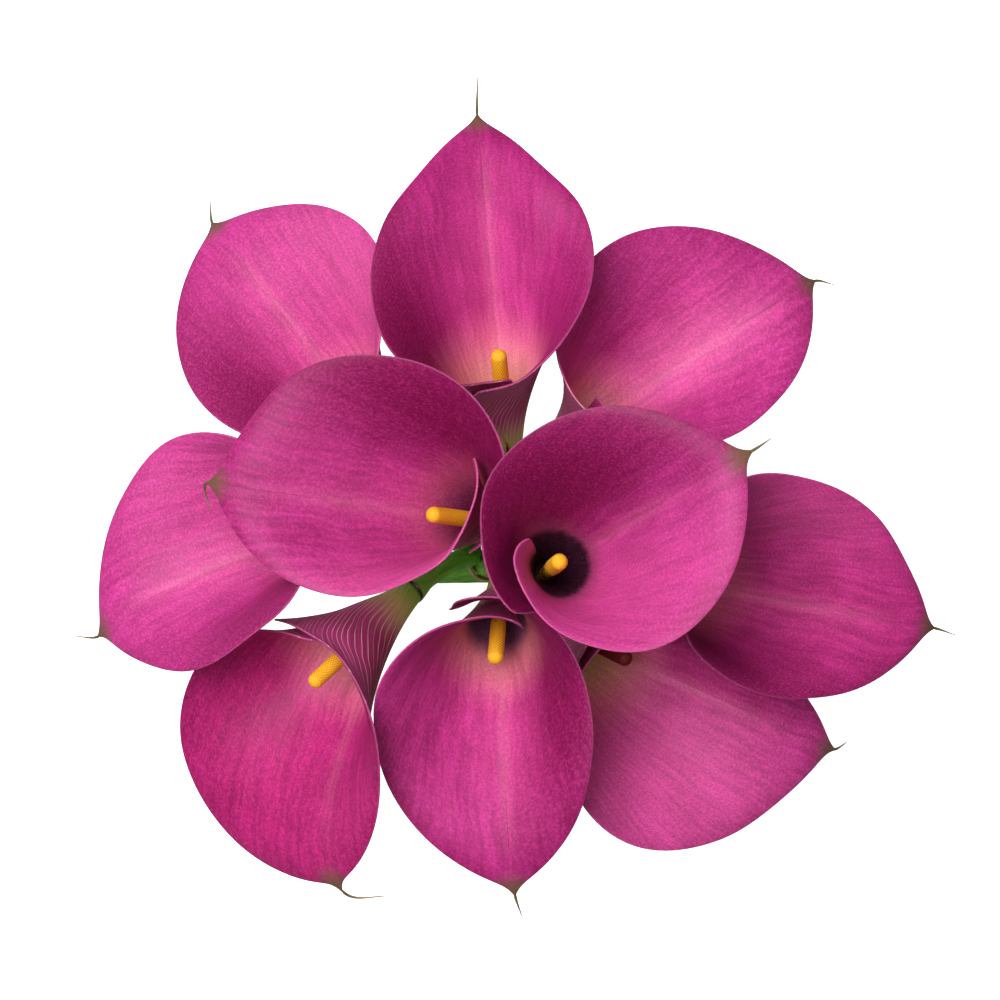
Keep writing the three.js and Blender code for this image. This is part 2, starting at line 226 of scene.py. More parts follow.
BLOOMS = (
    Bloom(
        name="top", foot=(-1.8, 18.2, 178), lean=42, azimuth=96, roll=-1, wrap=-1,
        inner=(75, 58, 49, 42, 36, 26, 18, 15, 14, 12), outer=(75, 56, 46, 35, 25, 19, 18, 19, 23, 27),
        tail_end=(0.4, 14, 3), tie_angle=65, sway=(1.6, 0.8),
        shade=Shade(1.0, 0.35, 4.0, 40.0), tint=CERISE,
    ),
    Bloom(
        name="top_left", foot=(-36.7, 12, 168), lean=52, azimuth=131, roll=-3,
        inner=(67, 59, 52, 42, 28, 22, 18, 16, 14, 12), outer=(67, 57, 48, 41, 35, 29, 24, 22, 22, 24),
        tail_end=(-0.4, 8, -1), tie_angle=110, sway=(0.5, 1),
        shade=Shade(-0.4, 1.0, 0.0, 30.0), tint=EVEN_PINK,
    ),
    Bloom(
        name="top_right", foot=(12.9, 17.9, 158), lean=45, azimuth=35, roll=-4, spadix_length=33,
        inner=(68, 54, 41, 33, 28, 24, 20, 17, 15, 12), outer=(68, 59, 53, 48, 42, 36, 30, 25, 25, 27),
        tail_end=(6.5, -1.6, -1), tie_angle=15, sway=(1.5, 1.1),
        shade=Shade(0.1, 0.2), tint=SHALLOW_THROAT,
    ),
    Bloom(
        name="centre_left", foot=(-0.1, -8.6, 194), lean=36, azimuth=172, roll=0, wrap=-1, inner_end=245,
        inner=(62, 51, 40, 31, 23, 19, 17, 17.5, 21.5, 28.5), outer=(62, 57, 56, 51, 46, 39, 33, 27, 23, 24),
        tail_end=(1.5, -10, -5), tie_angle=158, core=True, sway=(1.6, 0.9),
        shade=Shade(-0.8, 1.0, 8.0, 44.0), tint=WINE_THROAT,
    ),
    Bloom(
        name="centre_right", foot=(10.1, -25.5, 206), lean=9, azimuth=50, roll=-21, inner_end=250,
        inner=(61, 55, 49, 41, 29, 21, 17, 15.5, 15.5, 14.5), outer=(61, 54, 48, 41, 35, 27, 24, 23, 23, 25),
        tail_end=(5, 3.4, 1), tie_angle=-30, core=True, sway=(0.5, 0.6),
        shade=Shade(-0.4, 1.0, -5.0, 16.0), tint=DARK_THROAT,
    ),
    Bloom(
        name="right", foot=(34.7, -23.3, 184), lean=46, azimuth=-12, roll=2,
        inner=(70, 54, 40, 32, 27, 24, 20, 17, 14, 12), outer=(70, 57, 50, 44, 41, 34, 27, 24, 25, 27),
        tail_end=(7, -2.4, -1), tie_angle=-38, sway=(0.9, 0.8),
        shade=Shade(1.0, -0.3, 6.0, 36.0), tint=RICH_MAGENTA,
    ),
    Bloom(
        name="left", foot=(-42.7, -2.8, 178), lean=52, azimuth=188, roll=25,
        inner=(68, 58, 49, 43, 33, 24, 20, 17, 14, 12), outer=(68, 57, 48, 37, 33, 28, 24, 23, 24, 26),
        tail_end=(-8, 0.4, -1), tie_angle=150, sway=(1.5, 0.9),
        shade=Shade(-0.2, 1.0, 4.0, 36.0), tint=PINK,
    ),
    Bloom(
        name="bottom_left", foot=(-35.9, -32.2, 178), lean=56, azimuth=223, roll=62,
        spadix_length=54, height_turn=-30, inner_lift=(0, 0, 0, -2, -5, -5, -3, 0, 0, 0),
        inner=(63, 64, 64, 60, 46, 31, 22, 17, 14, 12), outer=(63, 54, 44, 34, 25, 20, 20, 23, 28, 36),
        tail_end=(16, -1.6, -2), tie_angle=190, sway=(1, 1),
        shade=Shade(0.2, 1.0), tint=RICH_CERISE,
    ),
    Bloom(
        name="bottom", foot=(-3.9, -28.4, 163), lean=34, azimuth=265, roll=11,
        inner_end=230, inner_lift=(0, 0, 0, 4, 8, 7, 3, 0, 0, 0),
        inner=(69, 59, 50, 42, 38, 31, 24, 20, 18, 16), outer=(69, 55, 42, 34, 30, 28, 28, 28.5, 30, 36),
        tail_end=(2.4, -7, -1), tie_angle=230, sway=(0.9, 1.2),
        shade=Shade(-0.1, 0.85, -6.0, 24.0), tint=DEEP_THROAT,
    ),
    Bloom(
        name="bottom_right", foot=(11.3, -43, 144), lean=42, azimuth=-24, roll=0,
        inner=(72, 66, 64, 60, 49, 35, 23, 16, 13, 12), outer=(72, 47, 37, 31, 27, 24, 23, 24, 29, 38),
        tail_end=(4, 3, 0), tie_angle=275, sway=(1.1, 1.2),
        shade=Shade(-0.4, 1.0, -4.0, 24.0), tint=LIME_THROAT, shadowed=True,
    ),
)


# Curves and grids


def about_z(angle: float) -> np.ndarray:
    """The rotation by an angle in radians about the upright axis."""
    c, s = math.cos(angle), math.sin(angle)
    return np.array([[c, -s, 0], [s, c, 0], [0, 0, 1]])


def smooth(low: float, high: float, value: np.ndarray) -> np.ndarray:
    """Rises smoothly from 0 at low to 1 at high."""
    share = np.clip((np.asarray(value, float) - low) / (high - low), 0, 1)
    return share * share * (3 - 2 * share)


def curve_through(places: tuple[float, ...], values: tuple[float, ...], at: np.ndarray) -> np.ndarray:
    """Smooth curve through values given at rising places.

    Args:
        places: Where the values hold.
        values: The values there.
        at: Where the curve is read.

    Returns:
        The curve's height at each place asked for.
    """
    x = np.asarray(places, float)
    y = np.asarray(values, float)
    last = len(x) - 1
    rise = np.diff(y) / np.diff(x)
    slope = np.empty(last + 1)
    slope[0], slope[last] = rise[0], rise[-1]
    before, after = np.diff(x)[:-1], np.diff(x)[1:]
    slope[1:last] = (rise[:-1] * after + rise[1:] * before) / (before + after)
    read = np.clip(np.asarray(at, float), x[0], x[-1])
    i = np.clip(np.searchsorted(x, read, side="right") - 1, 0, last - 1)
    width = x[i + 1] - x[i]
    s = (read - x[i]) / width
    return (
        y[i] * (1 + 2 * s) * (1 - s) ** 2
        + slope[i] * width * s * (1 - s) ** 2
        + y[i + 1] * s * s * (3 - 2 * s)
        - slope[i + 1] * width * s * s * (1 - s)
    )


def bezier(a: np.ndarray, b: np.ndarray, c: np.ndarray, d: np.ndarray, t: np.ndarray) -> np.ndarray:
    """Cubic curve from a to d, drawn towards b and c."""
    return a * (1 - t) ** 3 + 3 * b * t * (1 - t) ** 2 + 3 * c * t * t * (1 - t) + d * t ** 3


def unit(vectors: np.ndarray) -> np.ndarray:
    """Vectors brought to length 1."""
    return vectors / np.maximum(np.linalg.norm(vectors, axis=-1, keepdims=True), 1e-9)


def run_lengths(points: np.ndarray, axis: int) -> np.ndarray:
    """Length run along one axis of a grid of points.

    Args:
        points: The grid.
        axis: The axis along which the length runs.

    Returns:
        For each point, the length from the first point of its line.
    """
    steps = np.linalg.norm(np.diff(points, axis=axis), axis=-1)
    start = np.zeros_like(np.take(steps, [0], axis=axis))
    return np.cumsum(np.concatenate([start, steps], axis=axis), axis=axis)


def tube_rings(line: np.ndarray, radii: np.ndarray, sides: int) -> np.ndarray:
    """Rings of points round a line, without twist.

    Args:
        line: Points of the middle line.
        radii: The tube's radius at each of them.
        sides: How many points a ring has.

    Returns:
        One ring for each point of the line.
    """
    along = unit(np.gradient(line, axis=0))
    side = np.array([1.0, 0, 0]) if abs(along[0][0]) < 0.9 else np.array([0, 1.0, 0])
    around = np.linspace(0, 2 * math.pi, sides, endpoint=False)
    rings = []
    for centre, forward, radius in zip(line, along, radii):
        side = unit(side - forward * (side @ forward))
        across = np.cross(forward, side)
        rings.append(centre + radius * (np.outer(np.cos(around), side) + np.outer(np.sin(around), across)))
    return np.array(rings)


class MeshParts:
    """Corners, faces, finishes and painted values of one mesh, gathered before it is made."""

    def __init__(self) -> None:
        """Starts with nothing."""
        self.corners: list[np.ndarray] = []
        self.faces: list[tuple[int, ...]] = []
        self.finish_of_face: list[int] = []
        self.painted: dict[str, list[np.ndarray]] = {}
        self.count = 0

    def add_corners(self, corners: np.ndarray, **painted: np.ndarray) -> int:
        """Adds corners with their painted values.

        Args:
            corners: The corners in millimetres.
            **painted: A value for each corner, by name.

        Returns:
            The number of the first corner added.
        """
        corners = corners.reshape(-1, 3)
        first = self.count
        self.corners.append(corners)
        for name in self.painted | painted:
            values = painted.get(name)
            if name not in self.painted:
                self.painted[name] = [np.zeros(first)] if first else []
            self.painted[name].append(np.zeros(len(corners)) if values is None else np.ravel(values))
        self.count += len(corners)
        return first

    def add_faces(self, faces: np.ndarray | list[tuple[int, ...]], finish: int = 0) -> None:
        """Adds faces.

        Args:
            faces: The numbers of each face's corners.
            finish: The finish that they share.
        """
        for face in faces:
            self.faces.append(tuple(int(corner) for corner in face))
            self.finish_of_face.append(finish)

    def add_tube(
        self, rings: np.ndarray, finish: int = 0, end_finish: int | None = None, **painted: np.ndarray,
    ) -> None:
        """Adds a closed tube through rings of points.

        Args:
            rings: The rings, from one end to the other.
            finish: The finish of its side.
            end_finish: The finish of its first end, if another.
            **painted: A value for each point of the rings, by name.
        """
        count, sides = rings.shape[:2]
        first = self.add_corners(rings, **painted)
        number = first + np.arange(count * sides).reshape(count, sides)
        beside = np.roll(number, -1, axis=1)
        quads = np.stack([number[:-1], beside[:-1], beside[1:], number[1:]], axis=-1)
        self.add_faces(quads.reshape(-1, 4), finish)
        self.add_faces([tuple(number[0][::-1])], finish if end_finish is None else end_finish)
        self.add_faces([tuple(number[-1])], finish)

    def build(self, name: str, finishes: list[bpy.types.Material]) -> bpy.types.Object:
        """Makes the object, in metres, with its finishes and painted values.

        Args:
            name: The piece's name.
            finishes: The materials, in the order that the faces number them.

        Returns:
            The new object, in the scene.
        """
        mesh = bpy.data.meshes.new(name)
        mesh.from_pydata((np.concatenate(self.corners) * MM).tolist(), [], self.faces)
        for finish in finishes:
            mesh.materials.append(finish)
        mesh.polygons.foreach_set("material_index", self.finish_of_face)
        mesh.polygons.foreach_set("use_smooth", [True] * len(self.faces))
        for title, values in self.painted.items():
            attribute = mesh.attributes.new(title, "FLOAT", "POINT")
            attribute.data.foreach_set("value", np.concatenate(values).astype(np.float32))
        mesh.validate()
        mesh.update()
        piece = bpy.data.objects.new(name, mesh)
        bpy.context.scene.collection.objects.link(piece)
        return piece


# Shader building


Socket = bpy.types.NodeSocket
Feed = Socket | float | tuple[float, ...]
RAMP_INPUTS = ("Value", "From Min", "From Max", "To Min", "To Max")
FIRST_COLOUR, SECOND_COLOUR, MIXED_COLOUR = 6, 7, 2


@dataclass(frozen=True)
class Ramp:
    """A smooth change from start, where a value is low, to end, where it is high."""

    low: float
    high: float
    start: float = 0.0
    end: float = 1.0


@dataclass(frozen=True)
class Cloud:
    """How fine a soft noise is. The scale counts its waves in one unit of the place it is read at."""

    scale: float
    detail: float = 2.0
    roughness: float = 0.5


class Shading:
    """Adds nodes to a tree and joins them, so that a finish reads as a list of steps."""

    def __init__(self, tree: bpy.types.NodeTree) -> None:
        """Takes the tree that the nodes go into."""
        self.tree = tree

    def feed(self, socket: Socket, source: Feed) -> None:
        """Joins a source to a socket, or writes a plain value on it.

        Args:
            socket: The socket that is fed.
            source: Another node's output, or a value.
        """
        if isinstance(source, bpy.types.NodeSocket):
            self.tree.links.new(source, socket)
        else:
            socket.default_value = source

    def node(
        self, kind: str, feeds: dict[str | int, Feed] | None = None, **settings: object,
    ) -> bpy.types.Node:
        """Adds a node.

        Args:
            kind: The node's type.
            feeds: A source or value for each fed input, by its name or number.
            **settings: The node's own settings.

        Returns:
            The new node.
        """
        added = self.tree.nodes.new(kind)
        for name, value in settings.items():
            setattr(added, name, value)
        for name, source in (feeds or {}).items():
            self.feed(added.inputs[name], source)
        return added

    def math(self, operation: str, *values: Feed) -> Socket:
        """The result of a sum on one or two values."""
        return self.node("ShaderNodeMath", dict(enumerate(values)), operation=operation).outputs[0]

    def rise(self, value: Feed, ramp: Ramp) -> Socket:
        """Where a value stands on a ramp."""
        feeds = dict(zip(RAMP_INPUTS, (value, ramp.low, ramp.high, ramp.start, ramp.end)))
        return self.node("ShaderNodeMapRange", feeds, interpolation_type="SMOOTHSTEP").outputs["Result"]

    def mix(self, share: Feed, first: Feed, second: Feed) -> Socket:
        """The first colour where share is 0, the second where it is 1."""
        feeds = {"Factor": share, FIRST_COLOUR: first, SECOND_COLOUR: second}
        return self.node("ShaderNodeMix", feeds, data_type="RGBA").outputs[MIXED_COLOUR]

    def brightness(self, colour: Feed, factor: Feed) -> Socket:
        """A colour made lighter or darker by a factor."""
        feeds = {"Vector": colour, "Scale": factor}
        return self.node("ShaderNodeVectorMath", feeds, operation="SCALE").outputs["Vector"]

    def place(self, x: Feed, y: Feed, z: Feed) -> Socket:
        """A place put together from three values."""
        return self.node("ShaderNodeCombineXYZ", {"X": x, "Y": y, "Z": z}).outputs["Vector"]

    def noise(self, place: Feed, cloud: Cloud) -> Socket:
        """Soft noise at a place, from 0 to 1."""
        feeds = {"Vector": place, "Scale": cloud.scale, "Detail": cloud.detail, "Roughness": cloud.roughness}
        return self.node("ShaderNodeTexNoise", feeds).outputs["Fac"]

    def painted(self, name: str) -> Socket:
        """A value painted on the mesh."""
        return self.node("ShaderNodeAttribute", attribute_type="GEOMETRY", attribute_name=name).outputs["Fac"]

    def spot(self) -> Socket:
        """The place on the surface, in metres."""
        return self.node("ShaderNodeTexCoord").outputs["Object"]

    def white_to_camera(self, otherwise: float) -> Socket:
        """White where the camera looks straight at it, and a grey for all other light."""
        seen = self.node("ShaderNodeLightPath").outputs["Is Camera Ray"]
        return self.mix(seen, grey(otherwise), grey(1.0))


class SharedGroup:
    """A shader node group that several finishes place, built once."""

    title = ""
    inputs: tuple[tuple[str, str], ...] = ()
    outputs: tuple[tuple[str, str], ...] = ()

    @classmethod
    def tree(cls) -> bpy.types.NodeTree:
        """The group's tree, made on first use.

        Returns:
            The tree with its named sockets and its nodes.
        """
        found = bpy.data.node_groups.get(cls.title)
        if found is not None:
            return found
        tree = bpy.data.node_groups.new(cls.title, "ShaderNodeTree")
        for direction, sockets in (("INPUT", cls.inputs), ("OUTPUT", cls.outputs)):
            for name, kind in sockets:
                tree.interface.new_socket(name=name, in_out=direction, socket_type=kind)
        shading = Shading(tree)
        entry = shading.node("NodeGroupInput")
        results = cls.steps(shading, {name: entry.outputs[name] for name, _ in cls.inputs})
        shading.node("NodeGroupOutput", results)
        return tree

    @classmethod
    def steps(cls, shading: Shading, given: dict[str, Socket]) -> dict[str, Socket]:
        """The group's own nodes.

        Args:
            shading: The group's tree.
            given: The group's inputs by name.

        Returns:
            What feeds each of its outputs, by name.
        """
        raise NotImplementedError

    @classmethod
    def use(cls, shading: Shading, **given: Feed) -> dict[str, Socket]:
        """Places the group in a material.

        Args:
            shading: The material's tree.
            **given: A source or value for each input.

        Returns:
            The group's outputs by name.
        """
        node = shading.node("ShaderNodeGroup", node_tree=cls.tree())
        for name, source in given.items():
            shading.feed(node.inputs[name], source)
        return {socket.name: socket for socket in node.outputs}


FLOAT = "NodeSocketFloat"
COLOUR = "NodeSocketColor"


class Veins(SharedGroup):
    """Streaks, thin lines and grain that run along a petal or a stem.

    Lateral is the distance from the middle and Along the distance from the foot, both in millimetres.
    """

    title = "veins"
    inputs = (("Lateral", FLOAT), ("Along", FLOAT), ("Seed", FLOAT))
    outputs = (("Streaks", FLOAT), ("Lines", FLOAT), ("Grain", FLOAT), ("Patches", FLOAT), ("Height", FLOAT))
    drift = Cloud(0.05)
    drift_width = 6.0
    drawn_out = 0.07
    streaks = Cloud(0.7, 4.0, 0.6)
    ridges = Cloud(1.3)
    grain = Cloud(1.4, 3.0, 0.7)
    patches = Cloud(0.07, 6.0, 0.58)
    line_frequency = 1.2
    line = Ramp(0.02, 0.24, 1.0, 0.0)
    ridge_height = 0.6
    grain_height = 0.4

    @classmethod
    def steps(cls, shading: Shading, given: dict[str, Socket]) -> dict[str, Socket]:
        """Noise drawn out along the veins, thin lines between them, and even noise for grain and patches.

        Args:
            shading: The group's tree.
            given: The group's inputs by name.

        Returns:
            What feeds each of its outputs, by name.
        """
        even = shading.place(given["Lateral"], given["Along"], given["Seed"])
        drift = shading.math("MULTIPLY", shading.noise(even, cls.drift), cls.drift_width)
        bent = shading.math("ADD", given["Lateral"], drift)
        drawn_out = shading.math("MULTIPLY", given["Along"], cls.drawn_out)
        lengthwise = shading.place(bent, drawn_out, given["Seed"])
        wave = shading.math("SINE", shading.math("MULTIPLY", bent, cls.line_frequency))
        grain = shading.noise(even, cls.grain)
        ridges = shading.math("MULTIPLY", shading.noise(lengthwise, cls.ridges), cls.ridge_height)
        return {
            "Streaks": shading.noise(lengthwise, cls.streaks),
            "Lines": shading.rise(shading.math("ABSOLUTE", wave), cls.line),
            "Grain": grain,
            "Patches": shading.noise(even, cls.patches),
            "Height": shading.math("ADD", ridges, shading.math("MULTIPLY", grain, cls.grain_height)),
        }


class Rim(SharedGroup):
    """A painted highlight along a petal's rim and its olive tip, laid over another colour."""

    title = "rim"
    inputs = (("Color", COLOUR), ("Edge", FLOAT), ("Tip", FLOAT), ("Noise", FLOAT))
    outputs = (("Color", COLOUR),)
    # the painted highlight along the rim
    pale = Ramp(0.1, 0.5, 0.18, 0.0)
    fraying = 5.0
    olive = Ramp(3.0, 12.0, 0.9, 0.0)

    @classmethod
    def steps(cls, shading: Shading, given: dict[str, Socket]) -> dict[str, Socket]:
        """A thin painted highlight at the rim and olive round the tip.

        Args:
            shading: The group's tree.
            given: The group's inputs by name.

        Returns:
            What feeds its one output.
        """
        edged = shading.mix(shading.rise(given["Edge"], cls.pale), given["Color"], RIM_HIGHLIGHT)
        frayed = shading.math("ADD", given["Tip"], shading.math("MULTIPLY", given["Noise"], cls.fraying))
        return {"Color": shading.mix(shading.rise(frayed, cls.olive), edged, OLIVE_TIP)}


# Finishes


@dataclass(frozen=True)
class Relief:
    """How strongly and how deeply a surface is bumped. The depth is in millimetres."""

    strength: float
    depth: float


@dataclass(frozen=True)
class Flesh:
    """How far light spreads under a skin, red, green and blue, and how much the skin shines."""

    weight: float
    spread: tuple[float, float, float]
    depth: float
    shine: float = 0.5


PETAL_SPREAD = (1.0, 0.25, 0.5)


class Coat:
    """A new material with its tree and its Principled shader."""

    def __init__(self, name: str) -> None:
        """Makes the material.

        Args:
            name: The material's name.
        """
        self.material = bpy.data.materials.new(name)
        self.material.use_nodes = True
        self.shading = Shading(self.material.node_tree)
        nodes = self.material.node_tree.nodes
        self.shader = next(node for node in nodes if node.type == "BSDF_PRINCIPLED")

    def feed(self, feeds: dict[str, Feed]) -> None:
        """Feeds the shader.

        Args:
            feeds: A source or value for each fed input, by its name.
        """
        for name, source in feeds.items():
            self.shading.feed(self.shader.inputs[name], source)

    def lay(
        self, colour: Feed, gloss: Feed, height: Feed, relief: Relief, flesh: Flesh | None = None,
    ) -> bpy.types.Material:
        """Gives the material its surface.

        Args:
            colour: Its base colour.
            gloss: Its roughness.
            height: What stands out in its bumps.
            relief: How strong the bumps are.
            flesh: How it takes light in, if it is fleshy.

        Returns:
            The finished material.
        """
        bumps = {"Height": height, "Strength": relief.strength, "Distance": relief.depth * MM}
        normal = self.shading.node("ShaderNodeBump", bumps).outputs["Normal"]
        self.feed({"Base Color": colour, "Roughness": gloss, "Normal": normal})
        if flesh is not None:
            self.feed({
                "Subsurface Weight": flesh.weight, "Subsurface Radius": flesh.spread,
                "Subsurface Scale": flesh.depth * MM, "Specular IOR Level": flesh.shine,
            })
        return self.material


@dataclass(frozen=True)
class PetalInside:
    """The velvety inner face of a spathe."""

    name: str
    tint: Tint
    # painted shade on the two halves, painted light where a value is negative
    shade: Shade
    seed: float
    dark_streaks: Ramp = Ramp(0.3, 0.7, 0.0, 0.25)
    dark_patches: Ramp = Ramp(0.35, 0.65, 0.0, 0.3)
    # how the painted shade and painted light on the halves weaken far from the foot
    shade_fading: Ramp = Ramp(62.0, 110.0, 1.0, 0.55)
    margin: Ramp = Ramp(0.0, 9.0, 0.2, 0.0)
    off_margin: Ramp = Ramp(2.0, 50.0)
    glow_reach: float = 24.0
    midrib: Ramp = Ramp(0.0, 4.5, 0.1, 0.0)
    throat_fraying: float = 6.0
    halo_strength: float = 0.75
    velvet: Ramp = Ramp(0.45, 0.75, 0.0, 0.2)
    grain: Ramp = Ramp(0.3, 0.7, 0.8, 1.17)
    streaks: Ramp = Ramp(0.3, 0.7, 1.06, 0.92)
    gloss: Ramp = Ramp(0.2, 0.8, 0.42, 0.58)
    relief: Relief = Relief(0.35, 0.25)
    flesh: Flesh = Flesh(0.12, PETAL_SPREAD, 1.2, 0.18)

    def build(self) -> bpy.types.Material:
        """Lays the body's colours and painted shade, the throat's over them, then velvet, rim highlight and
        tip.

        Returns:
            The material of one bloom's inner face.
        """
        coat = Coat(self.name)
        shading = coat.shading
        lateral, along, edge, tip = (shading.painted(name) for name in ("lateral", "along", "edge", "tip"))
        veins = Veins.use(shading, Lateral=lateral, Along=along, Seed=self.seed)
        colour = self.body(shading, veins, lateral, along)
        colour = shading.mix(shading.rise(edge, self.margin), colour, self.tint.deep)
        aside = shading.math("ABSOLUTE", lateral)
        off_margin = shading.rise(edge, self.off_margin)
        # A broad lighter band along the midrib, kept off the margins: partly paler tissue, partly painted
        # light.
        glow = shading.rise(aside, Ramp(0.0, self.glow_reach, self.tint.glow, 0.0))
        colour = shading.mix(shading.math("MULTIPLY", glow, off_margin), colour, self.tint.light)
        midrib = shading.math("MULTIPLY", shading.rise(aside, self.midrib), off_margin)
        colour = shading.mix(midrib, colour, PALE_MIDRIB)
        colour = self.throat(shading, colour, veins, along)
        colour = shading.mix(shading.rise(veins["Grain"], self.velvet), colour, self.tint.light)
        grain = shading.rise(veins["Grain"], self.grain)
        streaks = shading.rise(veins["Streaks"], self.streaks)
        colour = shading.brightness(colour, shading.math("MULTIPLY", grain, streaks))
        colour = Rim.use(shading, Color=colour, Edge=edge, Tip=tip, Noise=veins["Grain"])["Color"]
        gloss = shading.rise(veins["Grain"], self.gloss)
        return coat.lay(colour, gloss, veins["Height"], self.relief, self.flesh)

    def body(self, shading: Shading, veins: dict[str, Socket], lateral: Socket, along: Socket) -> Socket:
        """The body's colour, streaked and patched, with painted shade on each half, painted light where
        negative.

        Args:
            shading: The material's tree.
            veins: The veins' masks.
            lateral: The distance from the midrib.
            along: The distance from the foot.

        Returns:
            The colour.
        """
        streaked = shading.rise(veins["Streaks"], self.dark_streaks)
        dark = shading.math("ADD", streaked, shading.rise(veins["Patches"], self.dark_patches))
        colour = shading.mix(dark, self.tint.body, self.tint.deep)
        # Painted shade: each half is drawn towards the deep colour, or towards the light one as painted light
        # where negative, most strongly low in the funnel.
        fading = shading.rise(along, self.shade_fading)
        for strength, side in ((self.shade.inner, -1.0), (self.shade.outer, 1.0)):
            ramp = Ramp(self.shade.begins, self.shade.full, 0.0, abs(strength))
            half = shading.rise(shading.math("MULTIPLY", lateral, side), ramp)
            towards = self.tint.deep if strength > 0 else self.tint.light
            colour = shading.mix(shading.math("MULTIPLY", half, fading), colour, towards)
        return colour

    def throat(self, shading: Shading, colour: Socket, veins: dict[str, Socket], along: Socket) -> Socket:
        """Lays the throat and the halo round it over a colour.

        Args:
            shading: The material's tree.
            colour: The colour underneath.
            veins: The veins' masks.
            along: The distance from the foot.

        Returns:
            The new colour.
        """
        colours, end, softness = THROATS[self.tint.throat], self.tint.throat_end, self.tint.throat_softness
        fraying = shading.math("MULTIPLY", veins["Streaks"], self.throat_fraying)
        ragged = shading.math("ADD", along, fraying)
        halo = shading.rise(ragged, Ramp(end, end + self.tint.halo_width, self.halo_strength, 0.0))
        colour = shading.mix(halo, colour, colours.halo)
        deep = shading.rise(ragged, Ramp(end - softness, end + softness, 1.0, 0.0))
        return shading.mix(deep, colour, colours.deep)


@dataclass(frozen=True)
class PetalOutside:
    """The outer face of a spathe: green at the stem, then maroon with pale veins, rose towards the rim."""

    name: str = "petal outside"
    maroon: Colour = srgb(138, 34, 80)
    rose: Colour = srgb(172, 48, 116)
    vein: Colour = srgb(244, 206, 190)
    yellow_green: Colour = srgb(188, 178, 92)
    seed: float = 7.0
    towards_rim: Ramp = Ramp(4.0, 30.0, 1.0, 0.0)
    streaks: Ramp = Ramp(0.3, 0.7, 0.75, 1.2)
    veined: Ramp = Ramp(40.0, 95.0, 0.85, 0.1)
    broken: Ramp = Ramp(0.3, 0.6, 0.3, 1.0)
    fraying: float = 26.0
    yellowed: Ramp = Ramp(18.0, 40.0, 0.9, 0.0)
    green: Ramp = Ramp(10.0, 26.0, 1.0, 0.0)
    gloss: Ramp = Ramp(0.2, 0.8, 0.36, 0.5)
    relief: Relief = Relief(0.5, 0.3)
    flesh: Flesh = Flesh(0.2, PETAL_SPREAD, 1.2, 0.3)

    def build(self) -> bpy.types.Material:
        """Lays maroon and rose, the veins over them, and the green of the foot last.

        Returns:
            The material of every bloom's outer face.
        """
        coat = Coat(self.name)
        shading = coat.shading
        lateral, along, edge, tip = (shading.painted(name) for name in ("lateral", "along", "edge", "tip"))
        veins = Veins.use(shading, Lateral=lateral, Along=along, Seed=self.seed)
        colour = shading.mix(shading.rise(edge, self.towards_rim), self.maroon, self.rose)
        colour = shading.brightness(colour, shading.rise(veins["Streaks"], self.streaks))
        broken = shading.rise(veins["Streaks"], self.broken)
        shown = shading.math("MULTIPLY", shading.rise(along, self.veined), broken)
        colour = shading.mix(shading.math("MULTIPLY", veins["Lines"], shown), colour, self.vein)
        ragged = shading.math("ADD", along, shading.math("MULTIPLY", veins["Streaks"], self.fraying))
        colour = shading.mix(shading.rise(ragged, self.yellowed), colour, self.yellow_green)
        colour = shading.mix(shading.rise(ragged, self.green), colour, STEM_GREEN)
        colour = Rim.use(shading, Color=colour, Edge=edge, Tip=tip, Noise=veins["Grain"])["Color"]
        gloss = shading.rise(veins["Grain"], self.gloss)
        return coat.lay(colour, gloss, veins["Height"], self.relief, self.flesh)


@dataclass(frozen=True)
class Tail:
    """The dried thin end of a spathe."""

    name: str = "petal tail"
    dry: Colour = srgb(150, 118, 84)
    drying: Ramp = Ramp(2.0, 9.0)
    wrinkles: Cloud = Cloud(900.0, 3.0)
    wrinkled: Ramp = Ramp(0.2, 0.8, 0.75, 1.2)
    gloss: Ramp = Ramp(0.2, 0.8, 0.5, 0.7)
    relief: Relief = Relief(0.4, 0.1)

    def build(self) -> bpy.types.Material:
        """Olive at the root, browner and paler to its end.

        Returns:
            The material of every tail.
        """
        coat = Coat(self.name)
        shading = coat.shading
        colour = shading.mix(shading.rise(shading.painted("tip"), self.drying), OLIVE_TIP, self.dry)
        wrinkles = shading.noise(shading.spot(), self.wrinkles)
        colour = shading.brightness(colour, shading.rise(wrinkles, self.wrinkled))
        return coat.lay(colour, shading.rise(wrinkles, self.gloss), wrinkles, self.relief)


